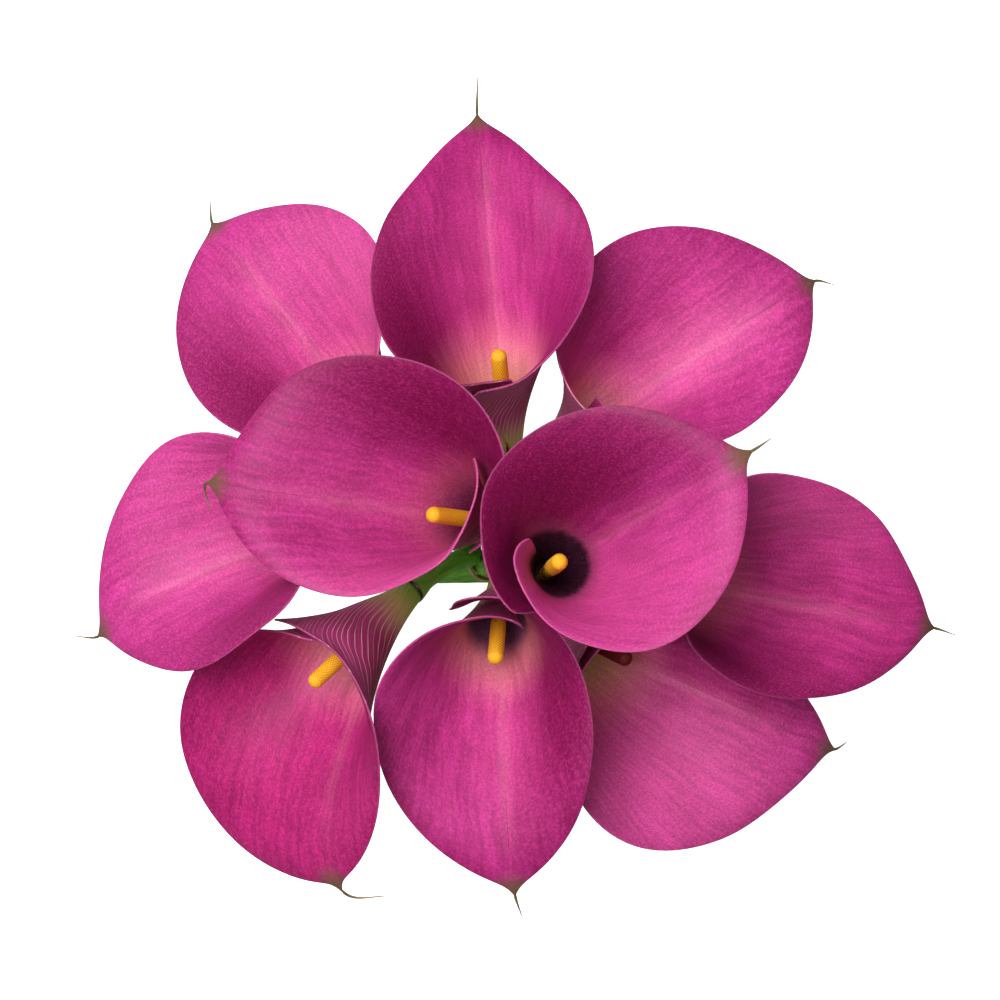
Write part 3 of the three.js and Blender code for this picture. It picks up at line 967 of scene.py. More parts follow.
@dataclass(frozen=True)
class Florets:
    """The grain of a spadix: paler on each floret, darker between them, with dark red bits low down."""

    name: str = "florets"
    crown: Colour = srgb(255, 200, 48)
    gap: Colour = srgb(214, 126, 10)
    red_bit: Colour = srgb(96, 14, 18)
    crowned: Ramp = Ramp(0.1, 0.9)
    bits: Cloud = Cloud(800.0)
    low_down: Ramp = Ramp(0.5, 0.72, 0.12, -0.25)
    red: Ramp = Ramp(0.62, 0.68)
    pollen: Cloud = Cloud(1600.0, 2.0, 0.6)
    dusted: Ramp = Ramp(0.55, 0.7)
    towards_tip: Ramp = Ramp(0.4, 0.9, 0.1, 0.4)
    gloss: Ramp = Ramp(0.2, 0.8, 0.55, 0.8)
    relief: Relief = Relief(0.4, 0.15)
    flesh: Flesh = Flesh(0.15, (1.0, 0.5, 0.1), 1.0, 0.3)

    def build(self) -> bpy.types.Material:
        """Lays the florets' colours, the red bits over them, then pollen dust towards the tip.

        Returns:
            The material of a spadix.
        """
        coat = Coat(self.name)
        shading = coat.shading
        raised, along, spot = shading.painted("raised"), shading.painted("along"), shading.spot()
        colour = shading.mix(shading.rise(raised, self.crowned), self.gap, self.crown)
        bits = shading.math("ADD", shading.noise(spot, self.bits), shading.rise(along, self.low_down))
        colour = shading.mix(shading.rise(bits, self.red), colour, self.red_bit)
        pollen = shading.noise(spot, self.pollen)
        towards_tip = shading.rise(along, self.towards_tip)
        dusted = shading.math("MULTIPLY", shading.rise(pollen, self.dusted), towards_tip)
        colour = shading.mix(dusted, colour, self.crown)
        return coat.lay(colour, shading.rise(pollen, self.gloss), pollen, self.relief, self.flesh)


@dataclass(frozen=True)
class StemSkin:
    """Smooth fleshy green with fine lengthwise streaks, paler towards the top and dark maroon at its very top.
    """

    name: str = "stem skin"
    bright: Colour = srgb(112, 180, 40)
    dark: Colour = srgb(70, 136, 20)
    pale: Colour = srgb(132, 168, 56)
    ring: Colour = srgb(58, 16, 22)
    seed: float = 3.0
    streaked: Ramp = Ramp(0.35, 0.7)
    patches: Ramp = Ramp(0.3, 0.7, 0.85, 1.15)
    paling: Ramp = Ramp(4.0, 30.0, 0.4, 0.0)
    ringed: Ramp = Ramp(0.2, 1.2, 1.0, 0.0)
    gloss: Ramp = Ramp(0.2, 0.8, 0.3, 0.45)
    relief: Relief = Relief(0.4, 0.2)
    flesh: Flesh = Flesh(0.12, (0.4, 1.0, 0.2), 1.5)

    def build(self) -> bpy.types.Material:
        """Lays streaks and patches, then the paler top and the dark maroon at its very top.

        Returns:
            The material of a stem's side.
        """
        coat = Coat(self.name)
        shading = coat.shading
        lateral, along, from_top = (shading.painted(name) for name in ("lateral", "along", "from_top"))
        veins = Veins.use(shading, Lateral=lateral, Along=along, Seed=self.seed)
        colour = shading.mix(shading.rise(veins["Streaks"], self.streaked), self.bright, self.dark)
        colour = shading.brightness(colour, shading.rise(veins["Patches"], self.patches))
        colour = shading.mix(shading.rise(from_top, self.paling), colour, self.pale)
        colour = shading.mix(shading.rise(from_top, self.ringed), colour, self.ring)
        gloss = shading.rise(veins["Grain"], self.gloss)
        return coat.lay(colour, gloss, veins["Height"], self.relief, self.flesh)


@dataclass(frozen=True)
class StemFlesh:
    """The pale wet flesh of a cut stem, dotted with darker vessels."""

    name: str = "cut stem"
    pith: Colour = srgb(214, 222, 160)
    vessel: Colour = srgb(132, 150, 74)
    cells_in_a_metre: float = 1100.0
    dotted: Ramp = Ramp(0.12, 0.3, 1.0, 0.0)
    gloss: Ramp = Ramp(0.0, 1.0, 0.3, 0.45)
    relief: Relief = Relief(0.4, 0.2)

    def build(self) -> bpy.types.Material:
        """Dots the pith with vessels.

        Returns:
            The material of a stem's cut end.
        """
        coat = Coat(self.name)
        shading = coat.shading
        feeds = {"Vector": shading.spot(), "Scale": self.cells_in_a_metre}
        cells = shading.node("ShaderNodeTexVoronoi", feeds, feature="F1")
        dots = shading.rise(cells.outputs["Distance"], self.dotted)
        colour = shading.mix(dots, self.pith, self.vessel)
        return coat.lay(colour, shading.rise(dots, self.gloss), dots, self.relief)


@dataclass(frozen=True)
class Raffia:
    """Dry straw-coloured raffia with lengthwise fibres."""

    name: str = "raffia"
    dark: Colour = srgb(150, 116, 66)
    light: Colour = srgb(222, 192, 136)
    drawn_out: float = 0.03
    fibres: Cloud = Cloud(6.0, 4.0, 0.7)
    fibred: Ramp = Ramp(0.3, 0.7)
    gloss: Ramp = Ramp(0.2, 0.8, 0.8, 0.6)
    relief: Relief = Relief(0.7, 0.3)

    def build(self) -> bpy.types.Material:
        """Draws fibres out along the strand.

        Returns:
            The material of the tie.
        """
        coat = Coat(self.name)
        shading = coat.shading
        drawn_out = shading.math("MULTIPLY", shading.painted("along"), self.drawn_out)
        fibres = shading.noise(shading.place(shading.painted("lateral"), drawn_out, 1.0), self.fibres)
        colour = shading.mix(shading.rise(fibres, self.fibred), self.dark, self.light)
        return coat.lay(colour, shading.rise(fibres, self.gloss), fibres, self.relief)


@dataclass(frozen=True)
class PaleFloor:
    """A plain white floor that stays white under the bunch and glows up at it a little."""

    name: str = "pale floor"
    glow: float = 0.35
    paleness: float = 0.9
    roughness: float = 0.9

    def build(self) -> bpy.types.Material:
        """Makes the floor white to the eye.

        Returns:
            The material of the floor.
        """
        coat = Coat(self.name)
        coat.feed({
            "Base Color": grey(self.paleness), "Roughness": self.roughness,
            "Emission Color": coat.shading.white_to_camera(self.glow), "Emission Strength": 1.0,
        })
        return coat.material


# Pieces


def add_to_bunch(piece: bpy.types.Object, node: str) -> None:
    """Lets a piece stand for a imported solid.

    Args:
        piece: The piece.
        node: The solid's node, which it replaces.
    """
    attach(piece, BODY)
    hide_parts(node)
    log.info("%s stands for %s with %d faces", piece.name, node, len(piece.data.polygons))


RIM_ANGLES = (0, 20, 45, 75, 105, 135, 160, 185, 215, 250)
RIM_SLOPES = (-6, 4, 14, 24, 32, 40, 44, 48, 48, 48)
STEPS_BY_MARGIN = (4.0, 2.4, 1.2, 0.4, 0.0)
STEPS_BY_RIM = (0.011, 0.006, 0.003, 0.0012, 0.0)


@dataclass(frozen=True)
class Measures:
    """Distances of a sheet's points from the axis, the midrib, the foot, the rim, any edge and the tip."""

    radius: np.ndarray
    lateral: np.ndarray
    along: np.ndarray
    to_rim: np.ndarray
    edge: np.ndarray
    tip: np.ndarray


@dataclass(frozen=True)
class Wave:
    """A wave's height, and how many radians it runs in one unit of the place."""

    height: float
    rate: float

    def at(self, place: np.ndarray, shift: float | np.ndarray = 0.0) -> np.ndarray:
        """The wave at a place, moved on by a shift in radians."""
        return self.height * np.sin(place * self.rate + shift)


@dataclass
class Spathe:
    """The leaf that is rolled into a bloom's funnel, from its foot to its tail."""

    bloom: Bloom
    wall: float = 0.8
    edge_rounding: float = 0.48
    foot_radius: float = 4.2
    throat_radius: float = 7.0
    foot_in_throat: float = 0.3
    wrap_offset: float = 0.75
    wrap_begins: float = 90.0
    wrap_full: float = 165.0
    wrap_foot: float = 0.12
    wrap_at_rim: float = 0.5
    foot_span: float = 171.0
    untwisted: float = 0.45
    tip_height: float = 86.0
    front_height: float = 50.0
    inner_height: float = 46.0
    tuck_begins: float = 150.0
    tuck_full: float = 250.0
    height_power: float = 1.2
    throat_share: float = 0.5
    highest_throat: float = 0.65
    rim_pull: float = 0.42
    least_pull: float = 3.0
    lip_span: float = 36.0
    lip_trim: float = 0.22
    slant_span: float = 25.0
    slant_trim: float = 0.3
    columns: int = 80
    rows: int = 54
    last_row: float = 0.985
    tip_crowding: float = 1.85
    vein_radius: float = 20.0
    vein_spread: float = 0.75
    ripple: Wave = Wave(0.07, 0.62)
    fine_ripple: Wave = Wave(0.04, 1.3)
    meander: Wave = Wave(2.0, 0.05)
    ripple_begins: float = 25.0
    ripple_full: float = 60.0
    still_edge: float = 2.0
    ripple_inland: float = 12.0
    overlap_begins: float = 120.0
    rim_roll: float = 0.25
    rolled_width: float = 2.5
    tip_drawn: float = 4.4
    tip_width: float = 1.9
    tip_length: float = 3.5
    heading_rows: int = 8
    tail_radius: float = 0.7
    tail_taper: float = 0.84
    tail_bow: float = 0.12
    tail_root: float = 2.0
    tail_follows: float = 0.45
    tail_leads: float = 0.3
    tail_steps: int = 20
    tail_sides: int = 8

    def rim_height(self, side: int, angle: np.ndarray) -> np.ndarray:
        """Height of a rim above the foot.

        Args:
            side: -1 on the inner half and 1 on the outer half.
            angle: Angles from the tip, in degrees.

        Returns:
            The height at each angle.
        """
        turned = np.clip(angle - side * self.bloom.height_turn, -180, 180)
        rise = ((1 + np.cos(np.radians(turned))) / 2) ** self.height_power
        height = self.front_height + (self.tip_height - self.front_height) * rise
        if side > 0:
            return height
        tuck = (self.inner_height - self.front_height) * smooth(self.tuck_begins, self.tuck_full, angle)
        return height + tuck + curve_through(RIM_ANGLES, self.bloom.inner_lift, angle)

    def trim(self, side: int, angle: np.ndarray) -> np.ndarray:
        """Share of a rib that is left where a half is cut back to a round lip or on a slant.

        Args:
            side: -1 on the inner half and 1 on the outer half.
            angle: Angles from the tip, in degrees.

        Returns:
            The share at each angle.
        """
        if side > 0:
            end = self.bloom.outer_end
            return 1 - self.slant_trim * smooth(end - self.slant_span, end, angle)
        near = np.clip((angle - self.bloom.inner_end) / self.lip_span + 1, 0, 1)
        return 1 - self.lip_trim * (1 - np.sqrt(1 - near ** 2))

    def middle(self, side: int, angle: np.ndarray, t: np.ndarray) -> np.ndarray:
        """Points in the middle of the wall.

        Args:
            side: -1 on the inner half and 1 on the outer half.
            angle: Angles from the tip, in degrees.
            t: 0 at the foot and 1 at the rim.

        Returns:
            Points in the bloom's own frame.
        """
        angle, t = np.broadcast_arrays(angle, t * self.trim(side, angle))
        reach = curve_through(RIM_ANGLES, self.bloom.inner if side < 0 else self.bloom.outer, angle)
        height = self.rim_height(side, angle)
        slope = np.radians(curve_through(RIM_ANGLES, RIM_SLOPES, angle))
        pull = self.rim_pull * np.maximum(reach - self.throat_radius, 0) + self.least_pull
        narrowed = self.foot_in_throat * self.foot_radius + (1 - self.foot_in_throat) * reach
        throat_radius = np.minimum(self.throat_radius, narrowed)
        throat_height = np.minimum(self.throat_share * self.front_height, self.highest_throat * height)
        radius = bezier(self.foot_radius, throat_radius, reach - pull * np.cos(slope), reach, t)
        z = bezier(0, throat_height, height - pull * np.sin(slope), height, t)
        end = self.bloom.inner_end if side < 0 else self.bloom.outer_end
        turned = angle + (angle * self.foot_span / end - angle) * (1 - smooth(0, self.untwisted, t))
        wrapped = smooth(self.wrap_begins, self.wrap_full, angle)
        wrapped = wrapped * smooth(0, self.wrap_foot, t) * (1 - self.wrap_at_rim * smooth(0.5, 1, t))
        radius = radius + side * self.wrap_offset * wrapped
        around = np.radians(self.bloom.wrap * side * turned)
        return np.stack([radius * np.cos(around), radius * np.sin(around), z], axis=-1)

    def angles_to(self, end: float) -> np.ndarray:
        """Angles from just off the tip to a margin, close together at both ends.

        Args:
            end: The margin's angle.

        Returns:
            The angles in degrees, rising.
        """
        share = np.arange(1, self.columns) / self.columns
        inside = end * share ** self.tip_crowding
        near_margin = end - np.array(STEPS_BY_MARGIN)
        return np.concatenate([inside[inside < near_margin[0] - 1], near_margin])

    def steps_up(self) -> np.ndarray:
        """Steps from the foot to the rim, close together at the rim."""
        near_rim = 1 - np.array(STEPS_BY_RIM)
        return np.concatenate([np.linspace(0, self.last_row, self.rows), near_rim])

    def sheet(self) -> tuple[np.ndarray, np.ndarray]:
        """The middle of the wall as a grid.

        Returns:
            The points, column by column from the inner margin to the outer one, and each point's signed
            angle from the tip.
        """
        t = self.steps_up()
        inner = self.angles_to(self.bloom.inner_end)[::-1]
        outer = np.concatenate([[0.0], self.angles_to(self.bloom.outer_end)])
        points = np.concatenate([
            self.middle(-1, inner[:, None], t[None, :]),
            self.middle(1, outer[:, None], t[None, :]),
        ])
        angle = np.concatenate([-inner, outer])[:, None] * np.ones_like(t)[None, :]
        return points, angle

    def measured(self, points: np.ndarray, angle: np.ndarray) -> Measures:
        """Measures the sheet before it is rippled.

        Args:
            points: The middle of the wall.
            angle: Each point's signed angle from the tip.

        Returns:
            The distances of its points.
        """
        radius = np.hypot(points[..., 0], points[..., 1])
        lateral = np.radians(angle) * self.vein_radius * (radius / self.vein_radius) ** self.vein_spread
        along, across = run_lengths(points, 1), run_lengths(points, 0)
        to_rim = along[:, -1:] - along
        edge = np.minimum(to_rim, np.minimum(across, across[-1:] - across))
        tip = np.linalg.norm(points - points[self.tip_column(angle), -1], axis=-1)
        return Measures(radius, lateral, along, to_rim, edge, tip)

    def tip_column(self, angle: np.ndarray) -> int:
        """The column of the sheet that runs up to the tip."""
        return int(np.argmin(np.abs(angle[:, -1])))

    def outwards(self, points: np.ndarray) -> np.ndarray:
        """The sheet's normals, away from the spadix."""
        across, up = np.gradient(points, axis=0), np.gradient(points, axis=1)
        return unit(np.cross(across, up)) * self.bloom.wrap

    def relaxed(self, points: np.ndarray, angle: np.ndarray, measures: Measures) -> np.ndarray:
        """Ripples the sheet and rolls its rim outwards, but not where its halves overlap.

        Args:
            points: The middle of the wall.
            angle: Each point's signed angle from the tip.
            measures: The sheet's distances.

        Returns:
            The moved points.
        """
        ripple = self.ripple.at(measures.lateral, self.meander.at(measures.along))
        ripple = ripple + self.fine_ripple.at(measures.lateral, 1.0)
        inland = smooth(self.ripple_begins, self.ripple_full, measures.along)
        inland = inland * smooth(self.still_edge, self.ripple_inland, measures.edge)
        roll = -self.rim_roll * smooth(self.rolled_width, 0, measures.to_rim)
        free = 1 - smooth(self.overlap_begins, self.wrap_full, np.abs(angle))
        shift = (ripple * inland + roll) * free
        return points - self.outwards(points) * shift[..., None]

    def build(self, *finishes: bpy.types.Material) -> None:
        """Makes the spathe, with its painted values and its tail.

        Args:
            *finishes: The finishes of the inner face, the outer face and the tail.
        """
        points, angle = self.sheet()
        measures = self.measured(points, angle)
        points = self.relaxed(points, angle, measures)
        to_tip = points[self.tip_column(angle)]
        heading = unit(to_tip[-1] - to_tip[-self.heading_rows])
        aside = np.abs(np.radians(angle)) * measures.radius
        drawn = self.tip_drawn * np.exp(-aside / self.tip_width) * np.exp(-measures.to_rim / self.tip_length)
        points = points + drawn[..., None] * heading
        parts = MeshParts()
        self.add_sheet(parts, points, measures)
        self.add_tail(parts, points[self.tip_column(angle), -1], heading)
        piece = parts.build(f"funnel_{self.bloom.name}", list(finishes))
        add_to_bunch(piece, f"spathe_{self.bloom.name}")

    def add_sheet(self, parts: MeshParts, points: np.ndarray, measures: Measures) -> None:
        """Adds the sheet's two faces, which meet in a rounded edge, and closes it at its foot.

        Args:
            parts: The spathe's mesh.
            points: The middle of the wall.
            measures: The sheet's distances.
        """
        columns, rows = measures.edge.shape
        near_edge = np.clip(measures.edge / self.edge_rounding, 0, 1)
        half = (self.wall / 2 * np.sqrt(1 - (1 - near_edge) ** 2))[..., None]
        outwards = self.outwards(points)
        values = {name: getattr(measures, name) for name in ("lateral", "along", "edge", "tip")}
        grids = []
        for shape in (points - outwards * half, points + outwards * half):
            first = parts.add_corners(self.bloom.placed(shape), **values)
            grids.append(first + np.arange(columns * rows).reshape(columns, rows))
        inner_face, outer_face = grids
        for border in (np.s_[0, :], np.s_[-1, :], np.s_[:, -1]):
            outer_face[border] = inner_face[border]
        flip = self.bloom.wrap < 0
        for grid, finish, turned in ((inner_face, 0, flip), (outer_face, 1, not flip)):
            quads = np.stack([grid[:-1, :-1], grid[:-1, 1:], grid[1:, 1:], grid[1:, :-1]], axis=-1)
            quads = quads.reshape(-1, 4)
            parts.add_faces(quads[:, ::-1] if turned else quads, finish)
        within, without = inner_face[:, 0], outer_face[:, 0]
        foot = np.stack([within[:-1], within[1:], without[1:], without[:-1]], axis=-1)
        parts.add_faces(foot[:, ::-1] if flip else foot, 1)

    def add_tail(self, parts: MeshParts, tip: np.ndarray, heading: np.ndarray) -> None:
        """Adds the tail, a thin curling tube rooted in the tip.

        Args:
            parts: The spathe's mesh.
            tip: The tip, in the bloom's own frame.
            heading: The direction in which the leaf comes to its tip.
        """
        start = self.bloom.placed(tip - heading * self.tail_root)
        course = self.bloom.turn() @ heading
        end = self.bloom.placed(tip) + np.asarray(self.bloom.tail_end)
        length = np.linalg.norm(end - start)
        t = np.linspace(0, 1, self.tail_steps)[:, None]
        follow = start + course * length * self.tail_follows
        lead = end - (end - start) * self.tail_leads + np.array([0, 0, self.tail_bow * length])
        line = bezier(start, follow, lead, end, t)
        swelling = 0.5 + 0.5 * smooth(0, 0.15, t[:, 0])
        radii = self.tail_radius * (1 - self.tail_taper * t[:, 0] ** 0.7) * swelling
        distance = np.linalg.norm(line - self.bloom.placed(tip), axis=-1)
        rings = tube_rings(line, radii, self.tail_sides)
        parts.add_tube(rings, 2, tip=np.repeat(distance, self.tail_sides))


@dataclass
class Spadix:
    """The club of tiny florets that stands in a funnel."""

    bloom: Bloom
    foot_radius: float = 2.0
    radius: float = 2.7
    florets_round: int = 18
    points_round: int = 72
    floret_pitch: float = 0.8
    rings_per_floret: int = 3
    floret_height: float = 0.16
    floret_flatness: float = 0.7
    hidden_share: float = 0.4
    florets_begin: float = 3.0
    swells_from: float = 0.1
    swells_to: float = 0.65
    cap_rings: int = 13
    cap_end: float = 88.0

    def build(self, finish: bpy.types.Material) -> None:
        """Makes the club with its florets raised in staggered rows.

        Args:
            finish: The finish of its florets.
        """
        length = self.bloom.spadix_length
        hidden = self.hidden_share * length
        body_end = length - self.radius
        steps = int((body_end - hidden) / self.floret_pitch * self.rings_per_floret)
        cap = np.radians(np.linspace(0, self.cap_end, self.cap_rings + 1))[1:]
        heights = np.concatenate([
            np.linspace(0, hidden, 6)[:-1],
            np.linspace(hidden, body_end, steps),
            body_end + self.radius * np.sin(cap),
        ])
        swollen = smooth(self.swells_from * length, self.swells_to * length, heights)
        swell = self.foot_radius + (self.radius - self.foot_radius) * swollen
        radii = np.where(heights <= body_end, swell, self.radius)
        radii[-len(cap):] = self.radius * np.cos(cap)
        around = np.linspace(0, 2 * math.pi, self.points_round, endpoint=False)
        surface_run = np.concatenate([heights[:-len(cap)], body_end + self.radius * cap])
        row = surface_run[:, None] / self.floret_pitch * math.pi
        turn = around[None, :] * self.florets_round / 2
        raised = np.abs(np.cos(turn + row / 2) * np.cos(turn - row / 2)) ** self.floret_flatness
        shown = smooth(hidden, hidden + self.florets_begin, heights) * np.clip(radii / self.radius, 0.15, 1)
        lift = self.floret_height * (raised - 0.5) * shown[:, None]
        facing = np.where(heights > body_end, np.clip((heights - body_end) / self.radius, 0, 1), 0)[:, None]
        out = radii[:, None] + lift * np.sqrt(1 - facing ** 2)
        points = np.stack([
            out * np.cos(around), out * np.sin(around), heights[:, None] + lift * facing,
        ], axis=-1)
        parts = MeshParts()
        share = np.repeat(heights / length, self.points_round)
        parts.add_tube(self.bloom.placed(points), 0, raised=raised, along=share)
        piece = parts.build(f"club_{self.bloom.name}", [finish])
        add_to_bunch(piece, f"spadix_{self.bloom.name}")


@dataclass(frozen=True)
class Bundle:
    """Where the stems cross at the tie."""

    centre: tuple[float, float] = (-2.6, -14.3)
    tie_height: float = 92.0
    ring_radius: float = 13.3
    spiral_slope: float = 0.34
    core_radius: float = 4.9
    core_slope: float = -0.04
    stem_radius: float = 4.0

    def crossing(self, bloom: Bloom) -> tuple[np.ndarray, np.ndarray]:
        """Where a bloom's stem passes the tie.

        Args:
            bloom: The bloom.

        Returns:
            The point, and the stem's direction there, which rises by 1.
        """
        angle = math.radians(bloom.tie_angle)
        radius = self.core_radius if bloom.core else self.ring_radius
        out = np.array([math.cos(angle), math.sin(angle), 0])
        round_the_tie = np.array([-math.sin(angle), math.cos(angle), 0])
        point = np.array([*self.centre, self.tie_height]) + radius * out
        lean = out * self.core_slope if bloom.core else round_the_tie * self.spiral_slope
        return point, lean + np.array([0, 0, 1.0])

    def outline(self, height: float, clearance: float, around: np.ndarray) -> np.ndarray:
        """The outline of a band drawn tight round the outer stems.

        Args:
            height: Height above the floor.
            clearance: How far outside the stems the line runs.
            around: Angles round the bundle, in radians.

        Returns:
            A point of the outline for each angle.
        """
        crossings = [self.crossing(bloom) for bloom in BLOOMS if not bloom.core]
        centres = np.array([point + slope * (height - self.tie_height) for point, slope in crossings])
        out = np.stack([np.cos(around), np.sin(around), np.zeros_like(around)], axis=-1)
        furthest = centres[np.argmax(centres @ out.T, axis=0)]
        return furthest + out * (self.stem_radius + clearance)


@dataclass
class Stem:
    """A fleshy stem from its level cut to the foot of its bloom."""

    bloom: Bloom
    bundle: Bundle
    cut_radius: float = 4.0
    neck_radius: float = 3.6
    seat_radius: float = 4.9
    flare_length: float = 9.0
    seat_gap: float = 0.3
    swelling: Wave = Wave(0.012, 0.21)
    sides: int = 24
    steps: int = 60
    straight_steps: int = 14

    def line(self) -> np.ndarray:
        """The middle line: straight up to the tie, then one bend into the bloom's own direction.

        Returns:
            Its points, from the cut to the seat of the bloom.
        """
        point, direction = self.bundle.crossing(self.bloom)
        cut = point - direction * self.bundle.tie_height
        axis = self.bloom.turn()[:, 2]
        top = np.asarray(self.bloom.foot) - axis * self.seat_gap
        span = np.linalg.norm(top - point)
        start = unit(direction) * span * self.bloom.sway[0]
        end = axis * span * self.bloom.sway[1]
        s = np.linspace(0, 1, self.steps)[:, None]
        upper = (
            point * (2 * s ** 3 - 3 * s ** 2 + 1) + start * (s ** 3 - 2 * s ** 2 + s)
            + top * (3 * s ** 2 - 2 * s ** 3) + end * (s ** 3 - s ** 2)
        )
        lower = cut + (point - cut) * np.linspace(0, 1, self.straight_steps)[:-1, None]
        return np.concatenate([lower, upper])

    def build(self, skin: bpy.types.Material, flesh: bpy.types.Material) -> None:
        """Makes the stem, with its cut end flat on the floor.

        Args:
            skin: The finish of its side.
            flesh: The finish of its cut end.
        """
        line = self.line()
        run = run_lengths(line, 0)
        length = run[-1]
        radii = self.cut_radius + (self.neck_radius - self.cut_radius) * run / length
        flare = smooth(length - self.flare_length, length, run)
        radii = radii + (self.seat_radius - self.neck_radius) * flare
        radii = radii * (1 + self.swelling.at(run, self.bloom.tie_angle))
        rings = tube_rings(line, radii, self.sides)
        first, second = rings[0], rings[1]
        slope = unit(second - first)
        rings[0] = first - slope * (first[:, 2:] / slope[:, 2:])
        around = np.linspace(-math.pi, math.pi, self.sides, endpoint=False)
        lateral = np.outer(radii, around)
        parts = MeshParts()
        along = np.repeat(run, self.sides)
        parts.add_tube(rings, 0, 1, lateral=lateral, along=along, from_top=length - along)
        piece = parts.build(f"stalk_{self.bloom.name}", [skin, flesh])
        add_to_bunch(piece, f"stem_{self.bloom.name}")


@dataclass
class Tie:
    """Raffia wound several times round the stems."""

    bundle: Bundle
    band: float = 10.0
    turns: int = 9
    steps_per_turn: int = 90
    strand_width: float = 1.5
    strand_thickness: float = 0.5
    section_points: int = 14
    clearance: float = 1.0
    seed: int = 11
    wobbles: int = 4
    wobble: float = 0.35
    slowest_wobble: float = 0.37
    wobble_step: float = 0.61
    wobble_share: float = 0.8
    lift: Wave = Wave(0.3, 1.7)
    crease: Wave = Wave(0.18, 3.0)
    widening: Wave = Wave(0.15, 2.3)

    def build(self, finish: bpy.types.Material) -> None:
        """Makes the winding as one flat strand.

        Args:
            finish: The finish of the strand.
        """
        chance = np.random.default_rng(self.seed)
        count = self.turns * self.steps_per_turn
        around = np.linspace(0, 2 * math.pi * self.turns, count)
        share = np.linspace(0, 1, count)
        waves = [
            Wave(self.wobble / (k + 1), self.slowest_wobble + self.wobble_step * k)
            for k in range(self.wobbles)
        ]
        wobble = sum(wave.at(around, chance.uniform(0, 6)) for wave in waves) * self.wobble_share
        height = self.bundle.tie_height + (share - 0.5) * (self.band - self.strand_width) + wobble
        depth = self.clearance + self.lift.at(around, 1.0)
        line = np.array([
            self.bundle.outline(z, out, np.array([angle]))[0] for z, out, angle in zip(height, depth, around)
        ])
        forward = unit(np.gradient(line, axis=0))
        up = np.array([0, 0, 1.0])
        out = unit(np.cross(forward, up))
        upright = np.cross(out, forward)
        section = np.linspace(0, 2 * math.pi, self.section_points, endpoint=False)
        width = self.strand_width / 2 * (1 + self.widening.at(around))[:, None]
        depth_of_point = self.strand_thickness / 2 * np.sin(section) * (1 + self.crease.at(section, 0.5))
        rings = (
            line[:, None] + out[:, None] * depth_of_point[None, :, None]
            + upright[:, None] * (width * np.cos(section))[..., None]
        )
        parts = MeshParts()
        lateral = np.tile(np.cos(section), count) * 2
        along = np.repeat(run_lengths(line, 0), self.section_points)
        parts.add_tube(rings, 0, lateral=lateral, along=along)
        add_to_bunch(parts.build("raffia_winding", [finish]), "tie")


# Surroundings


@dataclass(frozen=True)
class Lamp:
    """A square soft light: its place and side in metres, and its power."""

    name: str
    place: tuple[float, float, float]
    side: float
    watts: float


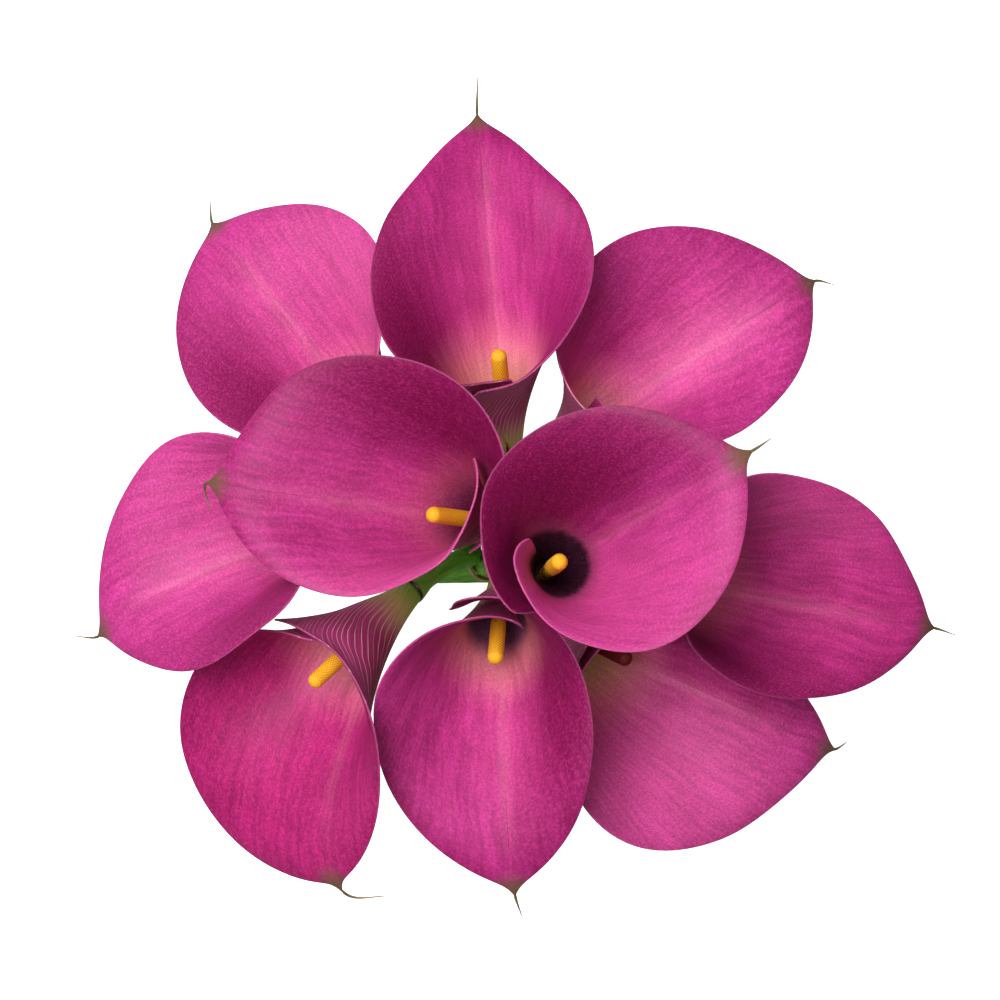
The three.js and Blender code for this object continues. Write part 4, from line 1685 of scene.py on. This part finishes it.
@dataclass
class Studio:
    """The floor, the lights and the camera over the bunch."""

    camera_place: tuple[float, float, float] = (-4.6, 0.0, 1185.0)
    bloom_plane: float = 235.0
    half_view: float = 165.0
    furthest_seen: float = 50000.0
    floor_side: float = 12000.0
    floor_drop: float = 0.3
    world_glow: float = 0.05
    lamps: tuple[Lamp, ...] = (
        Lamp("key", (-0.5, 0.33, 1.65), 1.0, 35.0),
        Lamp("fill", (0.3, -0.3, 1.9), 1.6, 7.0),
    )

    def camera(self) -> None:
        """Adds the camera, straight above and looking down, with +Y up in the picture."""
        data = bpy.data.cameras.new("camera")
        data.sensor_fit = "HORIZONTAL"
        data.angle = 2 * math.atan(self.half_view / (self.camera_place[2] - self.bloom_plane))
        data.clip_end = self.furthest_seen * MM
        camera = bpy.data.objects.new("camera", data)
        camera.location = [value * MM for value in self.camera_place]
        bpy.context.scene.collection.objects.link(camera)
        bpy.context.scene.camera = camera

    def floor(self) -> None:
        """Adds the pale floor."""
        half = self.floor_side / 2
        parts = MeshParts()
        parts.add_corners(np.array([[-half, -half, 0], [half, -half, 0], [half, half, 0], [-half, half, 0]]))
        parts.add_faces([(0, 1, 2, 3)])
        floor = parts.build("floor", [PaleFloor().build()])
        floor.location.z = -self.floor_drop * MM
        floor.visible_glossy = False

    def light(self, lamp: Lamp) -> None:
        """Hangs a lamp so that it points at the blooms.

        Args:
            lamp: The lamp.
        """
        data = bpy.data.lights.new(lamp.name, "AREA")
        data.size = lamp.side
        data.energy = lamp.watts
        light = bpy.data.objects.new(lamp.name, data)
        light.location = lamp.place
        aim = np.array([0, 0, self.bloom_plane * MM]) - np.array(lamp.place)
        light.rotation_mode = "QUATERNION"
        light.rotation_quaternion = Vector(aim.tolist()).to_track_quat("-Z", "Y")
        bpy.context.scene.collection.objects.link(light)

    def world(self) -> None:
        """Adds the world: white to the camera, with a faint even light on everything else."""
        world = bpy.data.worlds.new("world")
        world.use_nodes = True
        background = next(node for node in world.node_tree.nodes if node.type == "BACKGROUND")
        shading = Shading(world.node_tree)
        shading.feed(background.inputs["Color"], shading.white_to_camera(self.world_glow))
        bpy.context.scene.world = world

    def build(self) -> None:
        """Adds everything round the bunch."""
        self.camera()
        self.floor()
        for lamp in self.lamps:
            self.light(lamp)
        self.world()
        bpy.context.scene.view_settings.view_transform = "Standard"


def main() -> None:
    """Builds the studio, then every bloom with its spadix and stem, then the tie."""
    logging.basicConfig(level=logging.INFO, format="%(name)s: %(message)s")
    Studio().build()
    bundle = Bundle()
    outside = PetalOutside().build()
    tail = Tail().build()
    florets = Florets().build()
    # A dark red copy of the florets: painted shadow for the spadix that stands in its neighbour's shade.
    shadowed_florets = Florets("ripe florets", crown=SHADOWED_CROWN, gap=SHADOWED_GAP).build()
    skin, flesh = StemSkin().build(), StemFlesh().build()
    for number, bloom in enumerate(BLOOMS):
        inside = PetalInside(f"petal inside {bloom.name}", bloom.tint, bloom.shade, number * SEED_STEP)
        Spathe(bloom).build(inside.build(), outside, tail)
        Spadix(bloom).build(shadowed_florets if bloom.shadowed else florets)
        Stem(bloom, bundle).build(skin, flesh)
    Tie(bundle).build(Raffia().build())


if __name__ == "__main__":
    main()
